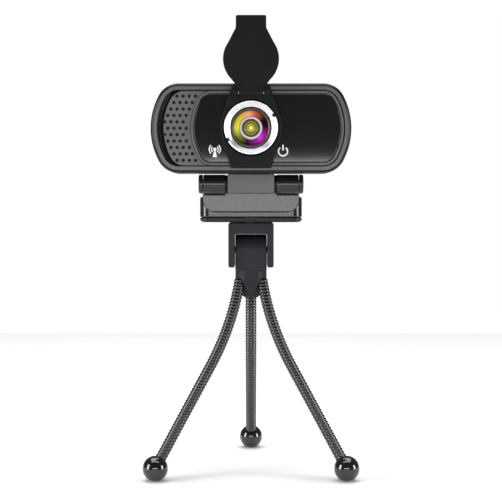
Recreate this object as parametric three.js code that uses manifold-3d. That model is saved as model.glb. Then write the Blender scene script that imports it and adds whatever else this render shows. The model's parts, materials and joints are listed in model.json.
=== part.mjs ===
// Webcam on a gooseneck mini tripod, with a clip stand and a flip-up privacy cover.
// Millimetres, +Z up, the lens looks along -Y. The origin is on the ground, under the
// middle of the whole object.
import * as THREE from 'three';
import { mergeVertices } from 'three/addons/utils/BufferGeometryUtils.js';
import Module from 'manifold-3d';

const wasm = await Module();
wasm.setup();

// ---------- driving dimensions ----------
const gap = 0.3; // between any two pieces that touch

const tripod = {
  ballDiameter: 12, ballFlat: 3.6, ballSocketDepth: 4.5,
  legDiameter: 5.5, legRootRadius: 6.2, legStartAngle: 10.5, legEndAngle: 32.5, legShort: 1,
  legBendRadius: 116, legStraight: 55, legs: 3,
  hubRadius: 7.6, hubBelowRoots: 9, hubAboveRoots: 5.6, hubTipRadius: 4, mouthFlare: 2.3, mouthLean: 0.5,
  pinAboveRoots: 14.4, pinRadius: 1.6, tongueDepth: 15,
  headDepth: 19, cheek: 3, cheekDrop: 8.3, bridge: 5.5, bridgeClearance: 0.3,
  studRadius: 3.175, studReach: 6,
};

const clip = {
  baseWidth: 48.6, baseDepth: 32, baseHeight: 12, baseCorner: 5, baseWall: 1.8, coverHeight: 1.9,
  coverChamfer: 1, padMargin: 2.2, padThickness: 1, padCorner: 4, armPadMargin: 3.2,
  insertRadius: 4.4, insertLength: 7.2, bossWall: 1.6, screwInset: 8, screwRoom: 2.9,
  hingeBehindBase: 3.8, hingeBelowTop: 1.8, hingeRadius: 3.1, hingePinRadius: 1.1,
  hingeCapWidth: 0.9, earWidth: 3.3, armKnuckleWidth: 11.5, centreKnuckleWidth: 15.4,
  armAboveHinge: 9.5, armThickness: 4.2, armWidth: 45.4, armCorner: 3.5,
  lipGap: 0.6, lipThickness: 3.5, lipBottom: 4.6, lipCorner: 6,
  barrelClearance: 1.1, barrelBelowArmTop: 1.8, barrelRadius: 4.4, barrelPinRadius: 1.5,
  capWidth: 1.9, washerWidth: 0.5, lugWidth: 21.6, tenonInset: 2.8, tenonRise: 4.5, tenonPlay: 0.2,
};

const camera = {
  width: 92, height: 41, depth: 30, corner: 10.5, end: 13, aboveBarrel: 0.5,
  barrelBehindPanel: 11, wall: 1.8, rim: 3.3, grilleRim: 5.7, rimSetback: 0.8, rimRound: 2.2, seam: 6,
  domeDepth: 10, domeInset: 7, floorFront: 3.3, floorThickness: 1.5,
  panelThickness: 1.4, panelInset: 20, panelProud: 0.3, band: 1.1, trayFloor: 1.3, trayBack: 3,
  grilleFront: 1.6, grilleRows: 11, grilleColumns: 4, grilleRowPitch: 2.92, grilleColumnPitch: 2.8,
  grilleInset: 6.6, dimpleRadius: 0.72, dimpleDepth: 0.7, portRow: 9, portColumn: 2,
  boardMargin: 15, boardHeight: 26, boardFront: 14.7, boardThickness: 1.6,
  caseScrewInset: 10, caseScrewZ: 9, boardScrewInset: 5, boardScrewZ: 8, postRadius: 3,
  signalX: -16.5, powerX: 14.6, symbolDrop: 10.6, pipeRadius: 1.5,
  glandZ: -9, glandRadius: 3.4,
};

const lens = {
  glassRadius: 8.4, glassEdge: 3.2, glassFront: 1.1, glassDome: 2.1,
  cellWall: 0.8, ringWall: 1.5, barrelWall: 1, barrelProud: 3.6, barrelFlange: 2.1,
  ringInset: 0.1, ringProud: 4.8, ringFlange: 0.9, notchWidth: 1.6, notchAngle: 62,
  cellFront: 0.1, cellShoulder: 8, cellBack: 12.2, cellBore: 3.6,
  secondRadius: 5.2, secondFront: 4.2, secondBack: 6.6, tailWall: 0.8,
  mountWall: 2.5, mountFront: 9, sensorSize: 7.6, sensorThickness: 0.8, filterRadius: 5,
};

const cover = {
  adhesive: 0.5, thickness: 3.4, holeClearance: 0.4, side: 1.2, topWidth: 16.8, bottomWidth: 18.6,
  topInset: 0.9, bottomInset: 2.2, hingeAbove: 1.5, flapClearance: 0.4, hingeRadius: 1.1, pinRadius: 0.5,
  knuckle: 11, flapThickness: 1.8, flapInset: 0.1, flapTab: 13.7, tabRise: 7, tabLength: 5.6, leafStep: 0.5,
};

// ---------- places worked out from them ----------
const radians = THREE.MathUtils.degToRad;
const legDrop = tripod.legBendRadius
  * (Math.sin(radians(tripod.legEndAngle)) - Math.sin(radians(tripod.legStartAngle)))
  + tripod.legStraight * Math.cos(radians(tripod.legEndAngle));
const legRun = tripod.legBendRadius
  * (Math.cos(radians(tripod.legStartAngle)) - Math.cos(radians(tripod.legEndAngle)))
  + tripod.legStraight * Math.sin(radians(tripod.legEndAngle));
const ballRadius = tripod.ballDiameter / 2;
const ballCentreZ = Math.sqrt(ballRadius ** 2 - (tripod.ballFlat / 2) ** 2);
const footCircle = tripod.legRootRadius + legRun;
const rootZ = ballCentreZ + legDrop;
const pinZ = rootZ + tripod.pinAboveRoots;
const bridgeAbovePin = tripod.tongueDepth / 2 + tripod.bridgeClearance;
const headTopZ = pinZ + bridgeAbovePin + tripod.bridge;
const baseZ = headTopZ + gap;
const baseFront = -clip.baseDepth / 2;
const hingeY = clip.baseDepth / 2 + clip.hingeBehindBase;
const hingeZ = clip.baseHeight - clip.hingeBelowTop;
const armTop = hingeZ + clip.armAboveHinge;
const lipBack = baseFront - clip.lipGap;
const lipFront = lipBack - clip.lipThickness;
const barrelY = lipFront - clip.barrelRadius - clip.barrelClearance;
const barrelZ = armTop - clip.barrelBelowArmTop;
const panelY = barrelY - camera.barrelBehindPanel;
const bodyBottom = barrelZ + clip.barrelRadius + camera.aboveBarrel;
const lensZ = baseZ + bodyBottom + camera.height / 2;

const cellOuter = lens.glassRadius + lens.cellWall;
const ringBore = cellOuter + gap;
const ringTail = ringBore + lens.ringWall;
const barrelInner = ringTail + gap;
const barrelOuter = barrelInner + lens.barrelWall;
const ringOuter = barrelOuter - lens.ringInset;
const cellTail = lens.secondRadius + lens.tailWall;

const coverBack = -cover.adhesive - 2 * gap;
const coverFront = coverBack - cover.thickness;
const coverHole = barrelOuter + cover.holeClearance;
const flapRadius = coverHole - cover.flapInset;
const coverHingeZ = coverHole + cover.hingeAbove + cover.hingeRadius;
const hingeProud = Math.max(lens.ringProud, -coverFront) + cover.flapClearance + cover.flapThickness / 2;
const frontY = panelY - hingeProud - cover.hingeRadius;
const shiftY = -(frontY + footCircle + ballRadius) / 2;

// ---------- materials ----------
const finish = (color, roughness, metalness = 0) =>
  new THREE.MeshStandardMaterial({ color, roughness, metalness });
const satin = 0x333336;
const looks = {
  shell: () => finish(satin, 0.45),
  gloss: () => finish(0x17171a, 0.12),
  grey: () => finish(0x6b6b6d, 0.5),
  clip: () => finish(0x4a4a4c, 0.4),
  matt: () => finish(0x222224, 0.8),
  rubber: () => finish(0x141414, 0.95),
  head: () => finish(0x2e2d33, 0.45),
  gooseneck: () => finish(0x1c1c1c, 0.35, 0.5),
  steel: () => finish(0x9a9a9e, 0.3, 1),
  brass: () => finish(0xb87a4a, 0.3, 1),
  ring: () => finish(0xd5d8e6, 0.25, 1),
  glass: () => finish(0x3a2a4a, 0.05),
  board: () => finish(0x1e4a2c, 0.6),
  clear: () => finish(0xdfe6e8, 0.2),
};

// ---------- solids ----------
/** Any closed geometry as a solid: doubled vertices merged, collapsed triangles left out, faces outwards. */
function solid(geometry) {
  const bare = geometry.clone();
  bare.deleteAttribute('normal');
  bare.deleteAttribute('uv');
  const merged = mergeVertices(bare, 1e-4);
  const place = merged.attributes.position;
  const corners = merged.index.array;
  const a = new THREE.Vector3();
  const b = new THREE.Vector3();
  const c = new THREE.Vector3();
  const kept = [];
  let volume = 0;
  for (let i = 0; i < corners.length; i += 3) {
    const [p, q, r] = corners.slice(i, i + 3);
    if (p === q || q === r || r === p) continue;
    kept.push([p, q, r]);
    volume += a.fromBufferAttribute(place, p)
      .dot(b.fromBufferAttribute(place, q).cross(c.fromBufferAttribute(place, r)));
  }
  const faces = volume < 0 ? kept.map(([p, q, r]) => [p, r, q]) : kept;
  return new wasm.Manifold(new wasm.Mesh({
    numProp: 3, vertProperties: new Float32Array(place.array), triVerts: new Uint32Array(faces.flat()),
  }));
}

/** The geometry of a solid, for a mesh. */
function geometryOf(body) {
  const mesh = body.getMesh();
  const geometry = new THREE.BufferGeometry();
  geometry.setAttribute('position', new THREE.BufferAttribute(mesh.vertProperties, 3));
  geometry.setIndex(new THREE.BufferAttribute(mesh.triVerts, 1));
  geometry.computeVertexNormals();
  return geometry;
}

const join = (first, ...others) => others.reduce((whole, piece) => whole.add(piece), first);
const cut = (first, ...others) => others.reduce((whole, piece) => whole.subtract(piece), first);

/** A box between two corners. */
function box(low, high) {
  const size = high.map((value, axis) => value - low[axis]);
  return solid(new THREE.BoxGeometry(...size).translate(...low.map((value, axis) => value + size[axis] / 2)));
}

/** An outline in X and Z as a plate whose faces lie at front and back along Y. */
function plate(shape, front, back, curveSegments = 3) {
  const geometry = new THREE.ExtrudeGeometry(shape, { depth: back - front, bevelEnabled: false, curveSegments });
  geometry.translate(0, 0, -back);
  return solid(geometry.rotateX(Math.PI / 2));
}

/** A profile in Y and Z carried along X. */
function beam(shape, left, right, curveSegments = 4) {
  const geometry = new THREE.ExtrudeGeometry(shape, { depth: right - left, bevelEnabled: false, curveSegments });
  geometry.translate(0, 0, left);
  const axes = new THREE.Matrix4().makeBasis(
    new THREE.Vector3(0, 1, 0), new THREE.Vector3(0, 0, 1), new THREE.Vector3(1, 0, 0));
  return solid(geometry.applyMatrix4(axes));
}

/** An outline in X and Y raised from one height to another, its lower edge chamfered. */
function slab(shape, bottom, top, chamfer = 0) {
  const geometry = new THREE.ExtrudeGeometry(shape, {
    depth: top - bottom, bevelEnabled: chamfer > 0, bevelThickness: chamfer, bevelSize: chamfer,
    bevelOffset: -chamfer, bevelSegments: 1, curveSegments: 3,
  });
  return solid(geometry.translate(0, 0, bottom + chamfer));
}

/** A profile of [radius, place] points turned about Y, or about Z when upright. */
function turned(profile, { segments = 24, upright = false } = {}) {
  const points = profile.map(([radius, place]) => new THREE.Vector2(radius, place));
  const geometry = new THREE.LatheGeometry(points, segments);
  return solid(upright ? geometry.rotateX(Math.PI / 2) : geometry);
}

const disc = (radius, front, back, segments = 20) =>
  turned([[0, front], [radius, front], [radius, back], [0, back]], { segments });

const tube = (inner, outer, front, back, segments = 24) =>
  turned([[inner, front], [outer, front], [outer, back], [inner, back], [inner, front]], { segments });

/** A round bar along X. */
function rod(radius, left, right, y, z, segments = 14) {
  const geometry = new THREE.CylinderGeometry(radius, radius, right - left, segments);
  return solid(geometry.rotateZ(Math.PI / 2).translate((left + right) / 2, y, z));
}

// ---------- outlines ----------
function roundedRectangle(width, depth, corner) {
  const x = width / 2 - corner;
  const y = depth / 2 - corner;
  const shape = new THREE.Shape();
  shape.absarc(x, y, corner, 0, Math.PI / 2);
  shape.absarc(-x, y, corner, Math.PI / 2, Math.PI);
  shape.absarc(-x, -y, corner, Math.PI, 1.5 * Math.PI);
  shape.absarc(x, -y, corner, 1.5 * Math.PI, 2 * Math.PI);
  shape.closePath();
  return shape;
}

/** A flat bar whose ends bow outwards: each corner arc runs on into one wide arc. */
function bowedBar({ left, right, height, corner, end }) {
  const rise = height / 2 - corner;
  const bow = (corner ** 2 - end ** 2 - rise ** 2) / (2 * (corner - end));
  const turn = Math.atan2(rise, bow - end);
  const shape = new THREE.Shape();
  shape.absarc(right - end, rise, corner, Math.PI / 2, turn, true);
  shape.absarc(right - bow, 0, bow, turn, -turn, true);
  shape.absarc(right - end, -rise, corner, -turn, -Math.PI / 2, true);
  shape.absarc(left + end, -rise, corner, -Math.PI / 2, turn - Math.PI, true);
  shape.absarc(left + bow, 0, bow, Math.PI + turn, Math.PI - turn, true);
  shape.absarc(left + end, rise, corner, Math.PI - turn, Math.PI / 2, true);
  shape.closePath();
  return shape;
}

/** The same bar with its edge moved inwards all round. */
const inset = ({ left, right, height, corner, end }, by) => ({
  left: left + by, right: right - by, height: height - 2 * by, corner: corner - by, end: end - by,
});

const polygon = (points) => new THREE.Shape(points.map(([x, y]) => new THREE.Vector2(x, y)));

// ---------- tripod ----------
/** The centre line of a leg, from its root downwards, in the plane of X (outwards) and Z. */
function legLine(steps) {
  const start = radians(tripod.legStartAngle);
  const end = radians(tripod.legEndAngle);
  const points = [];
  for (let i = 0; i <= steps; i += 1) {
    const angle = start + (end - start) * i / steps;
    points.push(new THREE.Vector3(
      tripod.legRootRadius + tripod.legBendRadius * (Math.cos(start) - Math.cos(angle)), 0,
      rootZ - tripod.legBendRadius * (Math.sin(angle) - Math.sin(start))));
  }
  const reach = tripod.legStraight - tripod.legShort;
  const last = points.at(-1);
  points.push(last.clone().add(new THREE.Vector3(Math.sin(end) * reach, 0, -Math.cos(end) * reach)));
  return points;
}

/** One link after another along a line, each an exact extrusion, so that the tube keeps its section. */
class Polyline3 extends THREE.CurvePath {
  constructor(points) {
    super();
    points.slice(1).forEach((point, i) => this.add(new THREE.LineCurve3(points[i], point)));
  }
}

function legTube() {
  const radius = tripod.legDiameter / 2;
  const line = new Polyline3(legLine(10));
  const section = new THREE.Shape();
  section.absarc(0, 0, radius, 0, 2 * Math.PI);
  const bar = new THREE.ExtrudeGeometry(section, { extrudePath: line, steps: 14, curveSegments: 5 });
  const root = new THREE.SphereGeometry(radius, 10, 6).translate(tripod.legRootRadius, 0, rootZ);
  return join(solid(bar), solid(root));
}

function foot() {
  const steps = 8;
  const low = Math.asin(tripod.ballFlat / 2 / ballRadius);
  const profile = [[0, 0]];
  for (let i = 0; i <= steps; i += 1) {
    const angle = low + (Math.PI - low) * i / steps;
    profile.push([ballRadius * Math.sin(angle), ballCentreZ - ballRadius * Math.cos(angle)]);
  }
  profile.at(-1)[0] = 0;
  const ball = turned(profile, { segments: 16, upright: true }).translate([footCircle, 0, 0]);
  const socketRadius = tripod.legDiameter / 2 + gap;
  const length = ballRadius + 1.5;
  const socket = new THREE.CylinderGeometry(socketRadius, socketRadius, length, 10)
    .rotateX(Math.PI / 2)
    .translate(0, 0, length / 2 - (tripod.ballSocketDepth - ballRadius + tripod.legShort) - gap);
  socket.rotateY(-radians(tripod.legEndAngle)).translate(footCircle, 0, ballCentreZ);
  return cut(ball, solid(socket));
}

/** The azimuths of the legs: one straight back, two to the front. */
const legAngle = (index) => Math.PI / 2 + index * 2 * Math.PI / tripod.legs;

function hub() {
  const { hubRadius, hubTipRadius } = tripod;
  const tip = rootZ - tripod.hubBelowRoots;
  const shoulder = rootZ + tripod.hubAboveRoots;
  const body = turned([
    [0, tip], [hubTipRadius - 1.2, tip], [hubTipRadius, tip + 1.2], [hubRadius, rootZ - 0.5],
    [hubRadius, shoulder], [0, shoulder],
  ], { segments: 16, upright: true });
  const half = hubRadius;
  const side = new THREE.Shape();
  side.moveTo(tripod.tongueDepth / 2, shoulder - 1);
  side.lineTo(tripod.tongueDepth / 2, pinZ);
  side.absarc(0, pinZ, tripod.tongueDepth / 2, 0, Math.PI);
  side.lineTo(-tripod.tongueDepth / 2, shoulder - 1);
  side.closePath();
  const tongue = beam(side, -half, half);
  const bore = rod(tripod.pinRadius + gap, -half - 1, half + 1, 0, pinZ);
  const sockets = [];
  const mouth = tripod.legDiameter / 2 + gap;
  const reach = tripod.hubBelowRoots + 3;
  for (let leg = 0; leg < tripod.legs; leg += 1) {
    const flare = new THREE.CylinderGeometry(mouth, mouth + tripod.mouthFlare, reach, 12)
      .rotateX(Math.PI / 2)
      .translate(0, 0, -reach / 2)
      .rotateY(-radians(tripod.mouthLean));
    const seat = new THREE.SphereGeometry(mouth + 0.1, 12, 8);
    for (const piece of [flare, seat]) {
      piece.translate(tripod.legRootRadius, 0, rootZ).rotateZ(legAngle(leg));
      sockets.push(solid(piece));
    }
  }
  return cut(join(body, tongue), bore, ...sockets);
}

function head() {
  const { headDepth, cheek, cheekDrop } = tripod;
  const inner = tripod.hubRadius + gap;
  const outer = inner + cheek;
  const low = pinZ - cheekDrop;
  const block = box([-outer, -headDepth / 2, low], [outer, headDepth / 2, headTopZ]);
  const slot = box([-inner, -headDepth, low - 1], [inner, headDepth, pinZ + bridgeAbovePin]);
  const bore = rod(tripod.pinRadius + gap, -outer - 1, outer + 1, 0, pinZ);
  const stud = turned([
    [0, headTopZ - tripod.bridge - 1], [tripod.studRadius + gap, headTopZ - tripod.bridge - 1],
    [tripod.studRadius + gap, headTopZ + 1], [0, headTopZ + 1]], { segments: 20, upright: true });
  return cut(block, slot, bore, stud);
}

const stud = () => turned([
  [0, headTopZ - tripod.bridge + gap], [tripod.studRadius, headTopZ - tripod.bridge + gap],
  [tripod.studRadius, headTopZ + tripod.studReach - 0.8],
  [tripod.studRadius - 0.8, headTopZ + tripod.studReach], [0, headTopZ + tripod.studReach],
], { segments: 20, upright: true });

// ---------- clip, with z = 0 at the underside of its base ----------
function baseShell() {
  const { baseWidth, baseDepth, baseHeight, baseCorner, baseWall, coverHeight } = clip;
  const bottom = coverHeight + gap;
  const block = slab(roundedRectangle(baseWidth, baseDepth, baseCorner), bottom, baseHeight);
  const recess = slab(padOutline(clip.padMargin - gap),
    baseHeight - clip.padThickness - gap, baseHeight + 1);
  const ceiling = baseCeiling();
  const hollow = slab(roundedRectangle(baseWidth - 2 * baseWall, baseDepth - 2 * baseWall, baseCorner - baseWall),
    bottom - 1, ceiling);
  const bossRadius = clip.insertRadius + gap + clip.bossWall;
  const boss = turned([[0, bottom], [bossRadius, bottom], [bossRadius, ceiling + 0.5], [0, ceiling + 0.5]],
    { segments: 16, upright: true });
  const well = turned([[0, bottom - 1], [clip.insertRadius + gap, bottom - 1],
    [clip.insertRadius + gap, insertTop() + gap], [0, insertTop() + gap]], { segments: 16, upright: true });
  const posts = screwPlaces().map(([x, y]) => post(x, y, bottom, ceiling + 0.5));
  const holes = screwPlaces().map(([x, y]) => hole(x, y, bottom - 1, ceiling - 1));
  const shell = join(cut(block, recess, hollow), boss, ...posts, ...knuckles());
  return cut(shell, well, ...holes, hingeBore());
}

const baseCeiling = () => clip.baseHeight - clip.padThickness - gap - clip.baseWall;
const padOutline = (margin) =>
  roundedRectangle(clip.baseWidth - 2 * margin, clip.baseDepth - 2 * margin, clip.baseCorner - margin);
const insertTop = () => clip.coverHeight + clip.insertLength - 1;
const screwPlaces = () => [-1, 1].map((side) => [side * (clip.baseWidth / 2 - clip.screwInset), 0]);
const post = (x, y, low, high) => turned([[0, low], [2.6, low], [2.6, high], [0, high]],
  { segments: 10, upright: true }).translate([x, y, 0]);
const hole = (x, y, low, high, radius = 1.3) => turned([[0, low], [radius, low], [radius, high], [0, high]],
  { segments: 10, upright: true }).translate([x, y, 0]);
const hingeBore = () => rod(clip.hingePinRadius + gap, -clip.baseWidth, clip.baseWidth, hingeY, hingeZ);

/** The ears and the centre knuckle that stand behind the base around the rear hinge. */
function knuckles() {
  const inside = clip.baseDepth / 2 - clip.baseWall / 2;
  const side = new THREE.Shape();
  side.moveTo(inside, hingeZ + clip.hingeRadius - 1.6);
  side.lineTo(hingeY, hingeZ + clip.hingeRadius);
  side.absarc(hingeY, hingeZ, clip.hingeRadius, Math.PI / 2, -Math.PI / 2, true);
  side.lineTo(inside, hingeZ - clip.hingeRadius - 2);
  side.closePath();
  const outer = clip.baseWidth / 2 - clip.hingeCapWidth - gap;
  const half = clip.centreKnuckleWidth / 2;
  return [beam(side, -outer, -outer + clip.earWidth), beam(side, -half, half),
    beam(side, outer - clip.earWidth, outer)];
}

function baseCover() {
  const shape = roundedRectangle(clip.baseWidth, clip.baseDepth, clip.baseCorner);
  const chamfered = slab(shape, 0, clip.coverHeight, clip.coverChamfer);
  const trimmed = cut(chamfered, box([-60, -60, clip.coverHeight], [60, 60, 20]));
  const holes = screwPlaces().flatMap(([x, y]) => [
    hole(x, y, -1, clip.coverHeight + 1), hole(x, y, -1, 1.1, 2.3)]);
  return cut(trimmed, hole(0, 0, -1, clip.coverHeight + 1, clip.insertRadius + gap), ...holes);
}

function insert() {
  const low = insertTop() - clip.insertLength;
  const bore = tripod.studRadius + gap;
  const top = insertTop();
  return turned([[bore, low], [clip.insertRadius, low], [clip.insertRadius, top], [0, top], [0, top - 1],
    [bore, top - 1], [bore, low]], { segments: 16, upright: true });
}

/** A pan-head screw standing head down at z = 0 of its own, its tip at the given length. */
const screw = (headRadius, headHeight, shank, length) => turned([
  [0, 0], [headRadius, 0], [headRadius, headHeight], [shank, headHeight], [shank, length], [0, length]],
{ segments: 8, upright: true });

function arm() {
  const { armThickness, armCorner, lipThickness, barrelRadius } = clip;
  const under = armTop - armThickness;
  const heel = clip.hingeRadius + 1.5;
  const side = new THREE.Shape();
  side.moveTo(hingeY - 1, hingeZ + heel);
  side.lineTo(hingeY - 0.8, hingeZ + heel + 0.6);
  side.lineTo(hingeY - 5, armTop);
  side.lineTo(lipFront + armCorner, armTop);
  side.absarc(lipFront + armCorner, armTop - armCorner, armCorner, Math.PI / 2, Math.PI);
  side.lineTo(lipFront, clip.lipBottom);
  side.lineTo(lipFront + lipThickness, clip.lipBottom);
  side.lineTo(lipBack, under);
  side.lineTo(hingeY - 6.6, under);
  side.lineTo(hingeY - 5.4, hingeZ + heel);
  side.closePath();
  const half = clip.armWidth / 2;
  const bent = beam(side, -half, half);
  const lipCorners = [-1, 1].map((sign) => lipCorner(sign * half));
  const stem = new THREE.Shape();
  stem.moveTo(hingeY - 3.6, hingeZ + heel + 0.4);
  stem.lineTo(hingeY - clip.hingeRadius, hingeZ);
  stem.absarc(hingeY, hingeZ, clip.hingeRadius, Math.PI, 2 * Math.PI);
  stem.lineTo(hingeY + clip.hingeRadius * 0.8, hingeZ + heel * 0.5);
  stem.lineTo(hingeY - 0.9, hingeZ + heel + 0.5);
  stem.closePath();
  const stemStart = clip.centreKnuckleWidth / 2 + gap;
  const strut = new THREE.Shape();
  strut.moveTo(lipFront + 1.2, armTop - 0.6);
  strut.lineTo(barrelY + 1, barrelZ + barrelRadius * 0.55);
  strut.absarc(barrelY, barrelZ, barrelRadius, 0.3 * Math.PI, 1.62 * Math.PI);
  strut.lineTo(lipFront + 1.2, armTop - 7.5);
  strut.closePath();
  const strutStart = clip.lugWidth / 2 + clip.washerWidth + 2 * gap;
  const strutEnd = clip.baseWidth / 2 - clip.capWidth - gap;
  const pieces = [-1, 1].flatMap((sign) => [
    beam(stem, ...ordered(sign * stemStart, sign * (stemStart + clip.armKnuckleWidth))),
    beam(strut, ...ordered(sign * strutStart, sign * strutEnd)),
    rod(barrelRadius, ...ordered(sign * strutStart, sign * strutEnd), barrelY, barrelZ, 18),
  ]);
  const frontBore = rod(clip.barrelPinRadius + gap, -clip.baseWidth, clip.baseWidth, barrelY, barrelZ);
  return cut(join(cut(bent, ...lipCorners), ...pieces), hingeBore(), frontBore);
}

const ordered = (a, b) => (a < b ? [a, b] : [b, a]);

/** What is cut from a lower corner of the lip to round it. */
function lipCorner(edge) {
  const radius = clip.lipCorner;
  const sign = Math.sign(edge);
  const centre = edge - sign * radius;
  const low = clip.lipBottom;
  const square = box([Math.min(centre, edge + sign), lipFront - 1, low - 1],
    [Math.max(centre, edge + sign), lipBack + 0.3, low + radius]);
  const round = disc(radius, lipFront - 2, lipBack + 2, 32).translate([centre, 0, low + radius]);
  return cut(square, round);
}

function armPad() {
  const top = armTop - clip.armThickness - gap;
  const middle = (lipBack + hingeY - 8) / 2;
  const depth = hingeY - 8 - lipBack - 3;
  const width = clip.armWidth - 2 * clip.armPadMargin;
  return slab(roundedRectangle(width, depth, clip.padCorner), top - clip.padThickness, top)
    .translate([0, middle, 0]);
}

const tenonHalf = clip.lugWidth / 2 - clip.tenonInset;

function lug() {
  const half = clip.lugWidth / 2;
  const roof = bodyBottom - gap;
  const side = new THREE.Shape();
  side.moveTo(barrelY + clip.barrelRadius, roof);
  side.lineTo(barrelY - clip.barrelRadius, roof);
  side.lineTo(barrelY - clip.barrelRadius, barrelZ);
  side.absarc(barrelY, barrelZ, clip.barrelRadius, Math.PI, 2 * Math.PI);
  side.closePath();
  const tenon = box([-tenonHalf, barrelY + clip.tenonPlay, roof - 1],
    [tenonHalf, barrelY + clip.barrelRadius - clip.tenonPlay, roof + clip.tenonRise]);
  const bore = rod(clip.barrelPinRadius + gap, -half - 1, half + 1, barrelY, barrelZ);
  return cut(join(beam(side, -half, half), tenon), bore);
}

// ---------- camera, with the lens axis at x = z = 0 and the panel face at y = 0 ----------
const bodyBar = {
  left: -camera.width / 2, right: camera.width / 2, height: camera.height, corner: camera.corner, end: camera.end,
};
const openingBar = { ...inset(bodyBar, camera.rim), left: bodyBar.left + camera.grilleRim };
const panelLeft = bodyBar.left + camera.panelInset;
const surroundBar = { ...inset(openingBar, gap), left: panelLeft - camera.band - gap };
const pocketBar = inset(surroundBar, camera.band);
const panelBar = inset(pocketBar, gap);
const floorBack = camera.floorFront + camera.floorThickness;
const lensHole = barrelOuter + gap;
const pipePlaces = [camera.signalX, camera.powerX];
const caseScrewX = camera.width / 2 - camera.caseScrewInset;
const casePlaces = [-1, 1].flatMap((x) => [-1, 1].map((z) => [x * caseScrewX, z * camera.caseScrewZ]));
const boardWidth = camera.width - 2 * camera.boardMargin;
const boardPlaces = [-1, 1].map((x) => [x * (boardWidth / 2 - camera.boardScrewInset), camera.boardScrewZ]);

const roundHole = (radius, front, back, x, z, segments = 10) =>
  disc(radius, front, back, segments).translate([x, 0, z]);
const lensBore = (front, back) => disc(lensHole, front, back, 24);

/** The bar carried from front to back with one rounded end, rising over depth and drawn in by size. */
function domed(bar, front, back, depth, size, { roundFront = false, segments = 3 } = {}) {
  const spare = depth + 2;
  const geometry = new THREE.ExtrudeGeometry(bowedBar(bar), {
    depth: back - front - depth + spare, bevelThickness: depth, bevelSize: size, bevelOffset: -size,
    bevelSegments: segments, curveSegments: 3,
  });
  geometry.rotateX(Math.PI / 2);
  geometry.translate(0, roundFront ? back + spare : back - depth, 0);
  const half = [camera.width, camera.height];
  return solid(geometry).intersect(box([-half[0], front, -half[1]], [half[0], back, half[1]]));
}

function rearShell() {
  const front = camera.seam + gap;
  const { depth, wall } = camera;
  const outer = domed(bodyBar, front, depth, camera.domeDepth, camera.domeInset);
  const inner = domed(inset(bodyBar, wall), front - 1, depth - wall, camera.domeDepth - 1,
    camera.domeInset - 0.8, { segments: 2 });
  const back = depth - wall + 0.5;
  const posts = casePlaces.map(([x, z]) => roundHole(camera.postRadius, front + 0.3, back, x, z));
  const stops = boardPlaces.map(([x, z]) =>
    roundHole(camera.postRadius - 0.4, camera.boardFront + camera.boardThickness + gap, back, x, z));
  const bores = [...casePlaces.map(([x, z]) => roundHole(1.3, 0, 20, x, z, 12)),
    ...boardPlaces.map(([x, z]) => roundHole(1.3, 0, 24, x, z, 12))];
  const half = tenonHalf + gap;
  const slot = box([-half, camera.barrelBehindPanel + clip.tenonPlay - gap, -camera.height / 2 - 1],
    [half, camera.barrelBehindPanel + clip.barrelRadius - clip.tenonPlay + gap,
      -camera.height / 2 + camera.wall + 1]);
  const gland = roundHole(camera.glandRadius + gap, 20, depth + 1, 0, camera.glandZ, 20);
  return cut(join(cut(outer, inner), ...posts, ...stops), ...bores, slot, gland);
}

function bezel() {
  const { rimSetback, rimRound, seam, wall, floorFront } = camera;
  const outer = domed(bodyBar, rimSetback, seam, rimRound, rimRound, { roundFront: true, segments: 2 });
  const opening = plate(bowedBar(openingBar), rimSetback - 1, floorFront);
  const cavity = plate(bowedBar(inset(bodyBar, wall)), floorBack, seam + 1);
  const bosses = casePlaces.map(([x, z]) => roundHole(camera.postRadius, floorFront, seam, x, z));
  const holes = casePlaces.flatMap(([x, z]) => [
    roundHole(1.3, floorFront - 1, seam + 1, x, z, 12), roundHole(2.3, floorFront - 1, floorBack, x, z)]);
  const pipes = pipePlaces.map((x) => roundHole(camera.pipeRadius + gap, 0, seam + 1, x, -camera.symbolDrop));
  const [portX, portZ] = dimplePlace(camera.portRow, camera.portColumn);
  const port = roundHole(1, 0, seam + 1, portX, portZ);
  return cut(join(cut(outer, opening, cavity), ...bosses), ...holes, ...pipes, port, lensBore(0, seam + 1));
}

/** The middle of a dimple: rows step outwards to the middle of the grille, half a column at a time. */
function dimplePlace(row, column) {
  const middle = (camera.grilleRows - 1) / 2;
  const away = Math.abs(row - middle);
  const step = away === 0 ? 1 : away - 1;
  return [bodyBar.left + camera.grilleInset + (step / 2 + column) * camera.grilleColumnPitch,
    (middle - row) * camera.grilleRowPitch];
}

function grille() {
  const { grilleFront, trayBack, dimpleDepth, dimpleRadius } = camera;
  const whole = plate(bowedBar(inset(openingBar, gap)), grilleFront, trayBack);
  const cutLine = panelLeft + bodyBar.end / 2;
  const kept = box([-camera.width, 0, -camera.height], [cutLine, camera.depth, camera.height]);
  const tray = plate(bowedBar(inset(surroundBar, -gap)), grilleFront - 1, trayBack + 1);
  const dimples = [];
  for (let row = 0; row < camera.grilleRows; row += 1) {
    for (let column = 0; column < camera.grilleColumns; column += 1) {
      const isPort = row === camera.portRow && column === camera.portColumn;
      const bottom = isPort ? trayBack + 1 : grilleFront + dimpleDepth;
      dimples.push(roundHole(dimpleRadius, grilleFront - 1, bottom, ...dimplePlace(row, column), 5));
    }
  }
  return cut(whole.intersect(kept), tray, ...dimples);
}

function surround() {
  const { panelProud, trayBack, trayFloor } = camera;
  const whole = plate(bowedBar(surroundBar), panelProud, trayBack);
  const pocket = plate(bowedBar(pocketBar), -1, trayBack - trayFloor);
  const windows = pipePlaces.map((x) => roundHole(camera.pipeRadius + gap, 0, trayBack + 1, x, -camera.symbolDrop));
  return cut(whole, pocket, ...windows, lensBore(-1, trayBack + 1));
}

const panel = () => cut(plate(bowedBar(panelBar), 0, camera.panelThickness), lensBore(-1, camera.panelThickness + 1));

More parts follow.
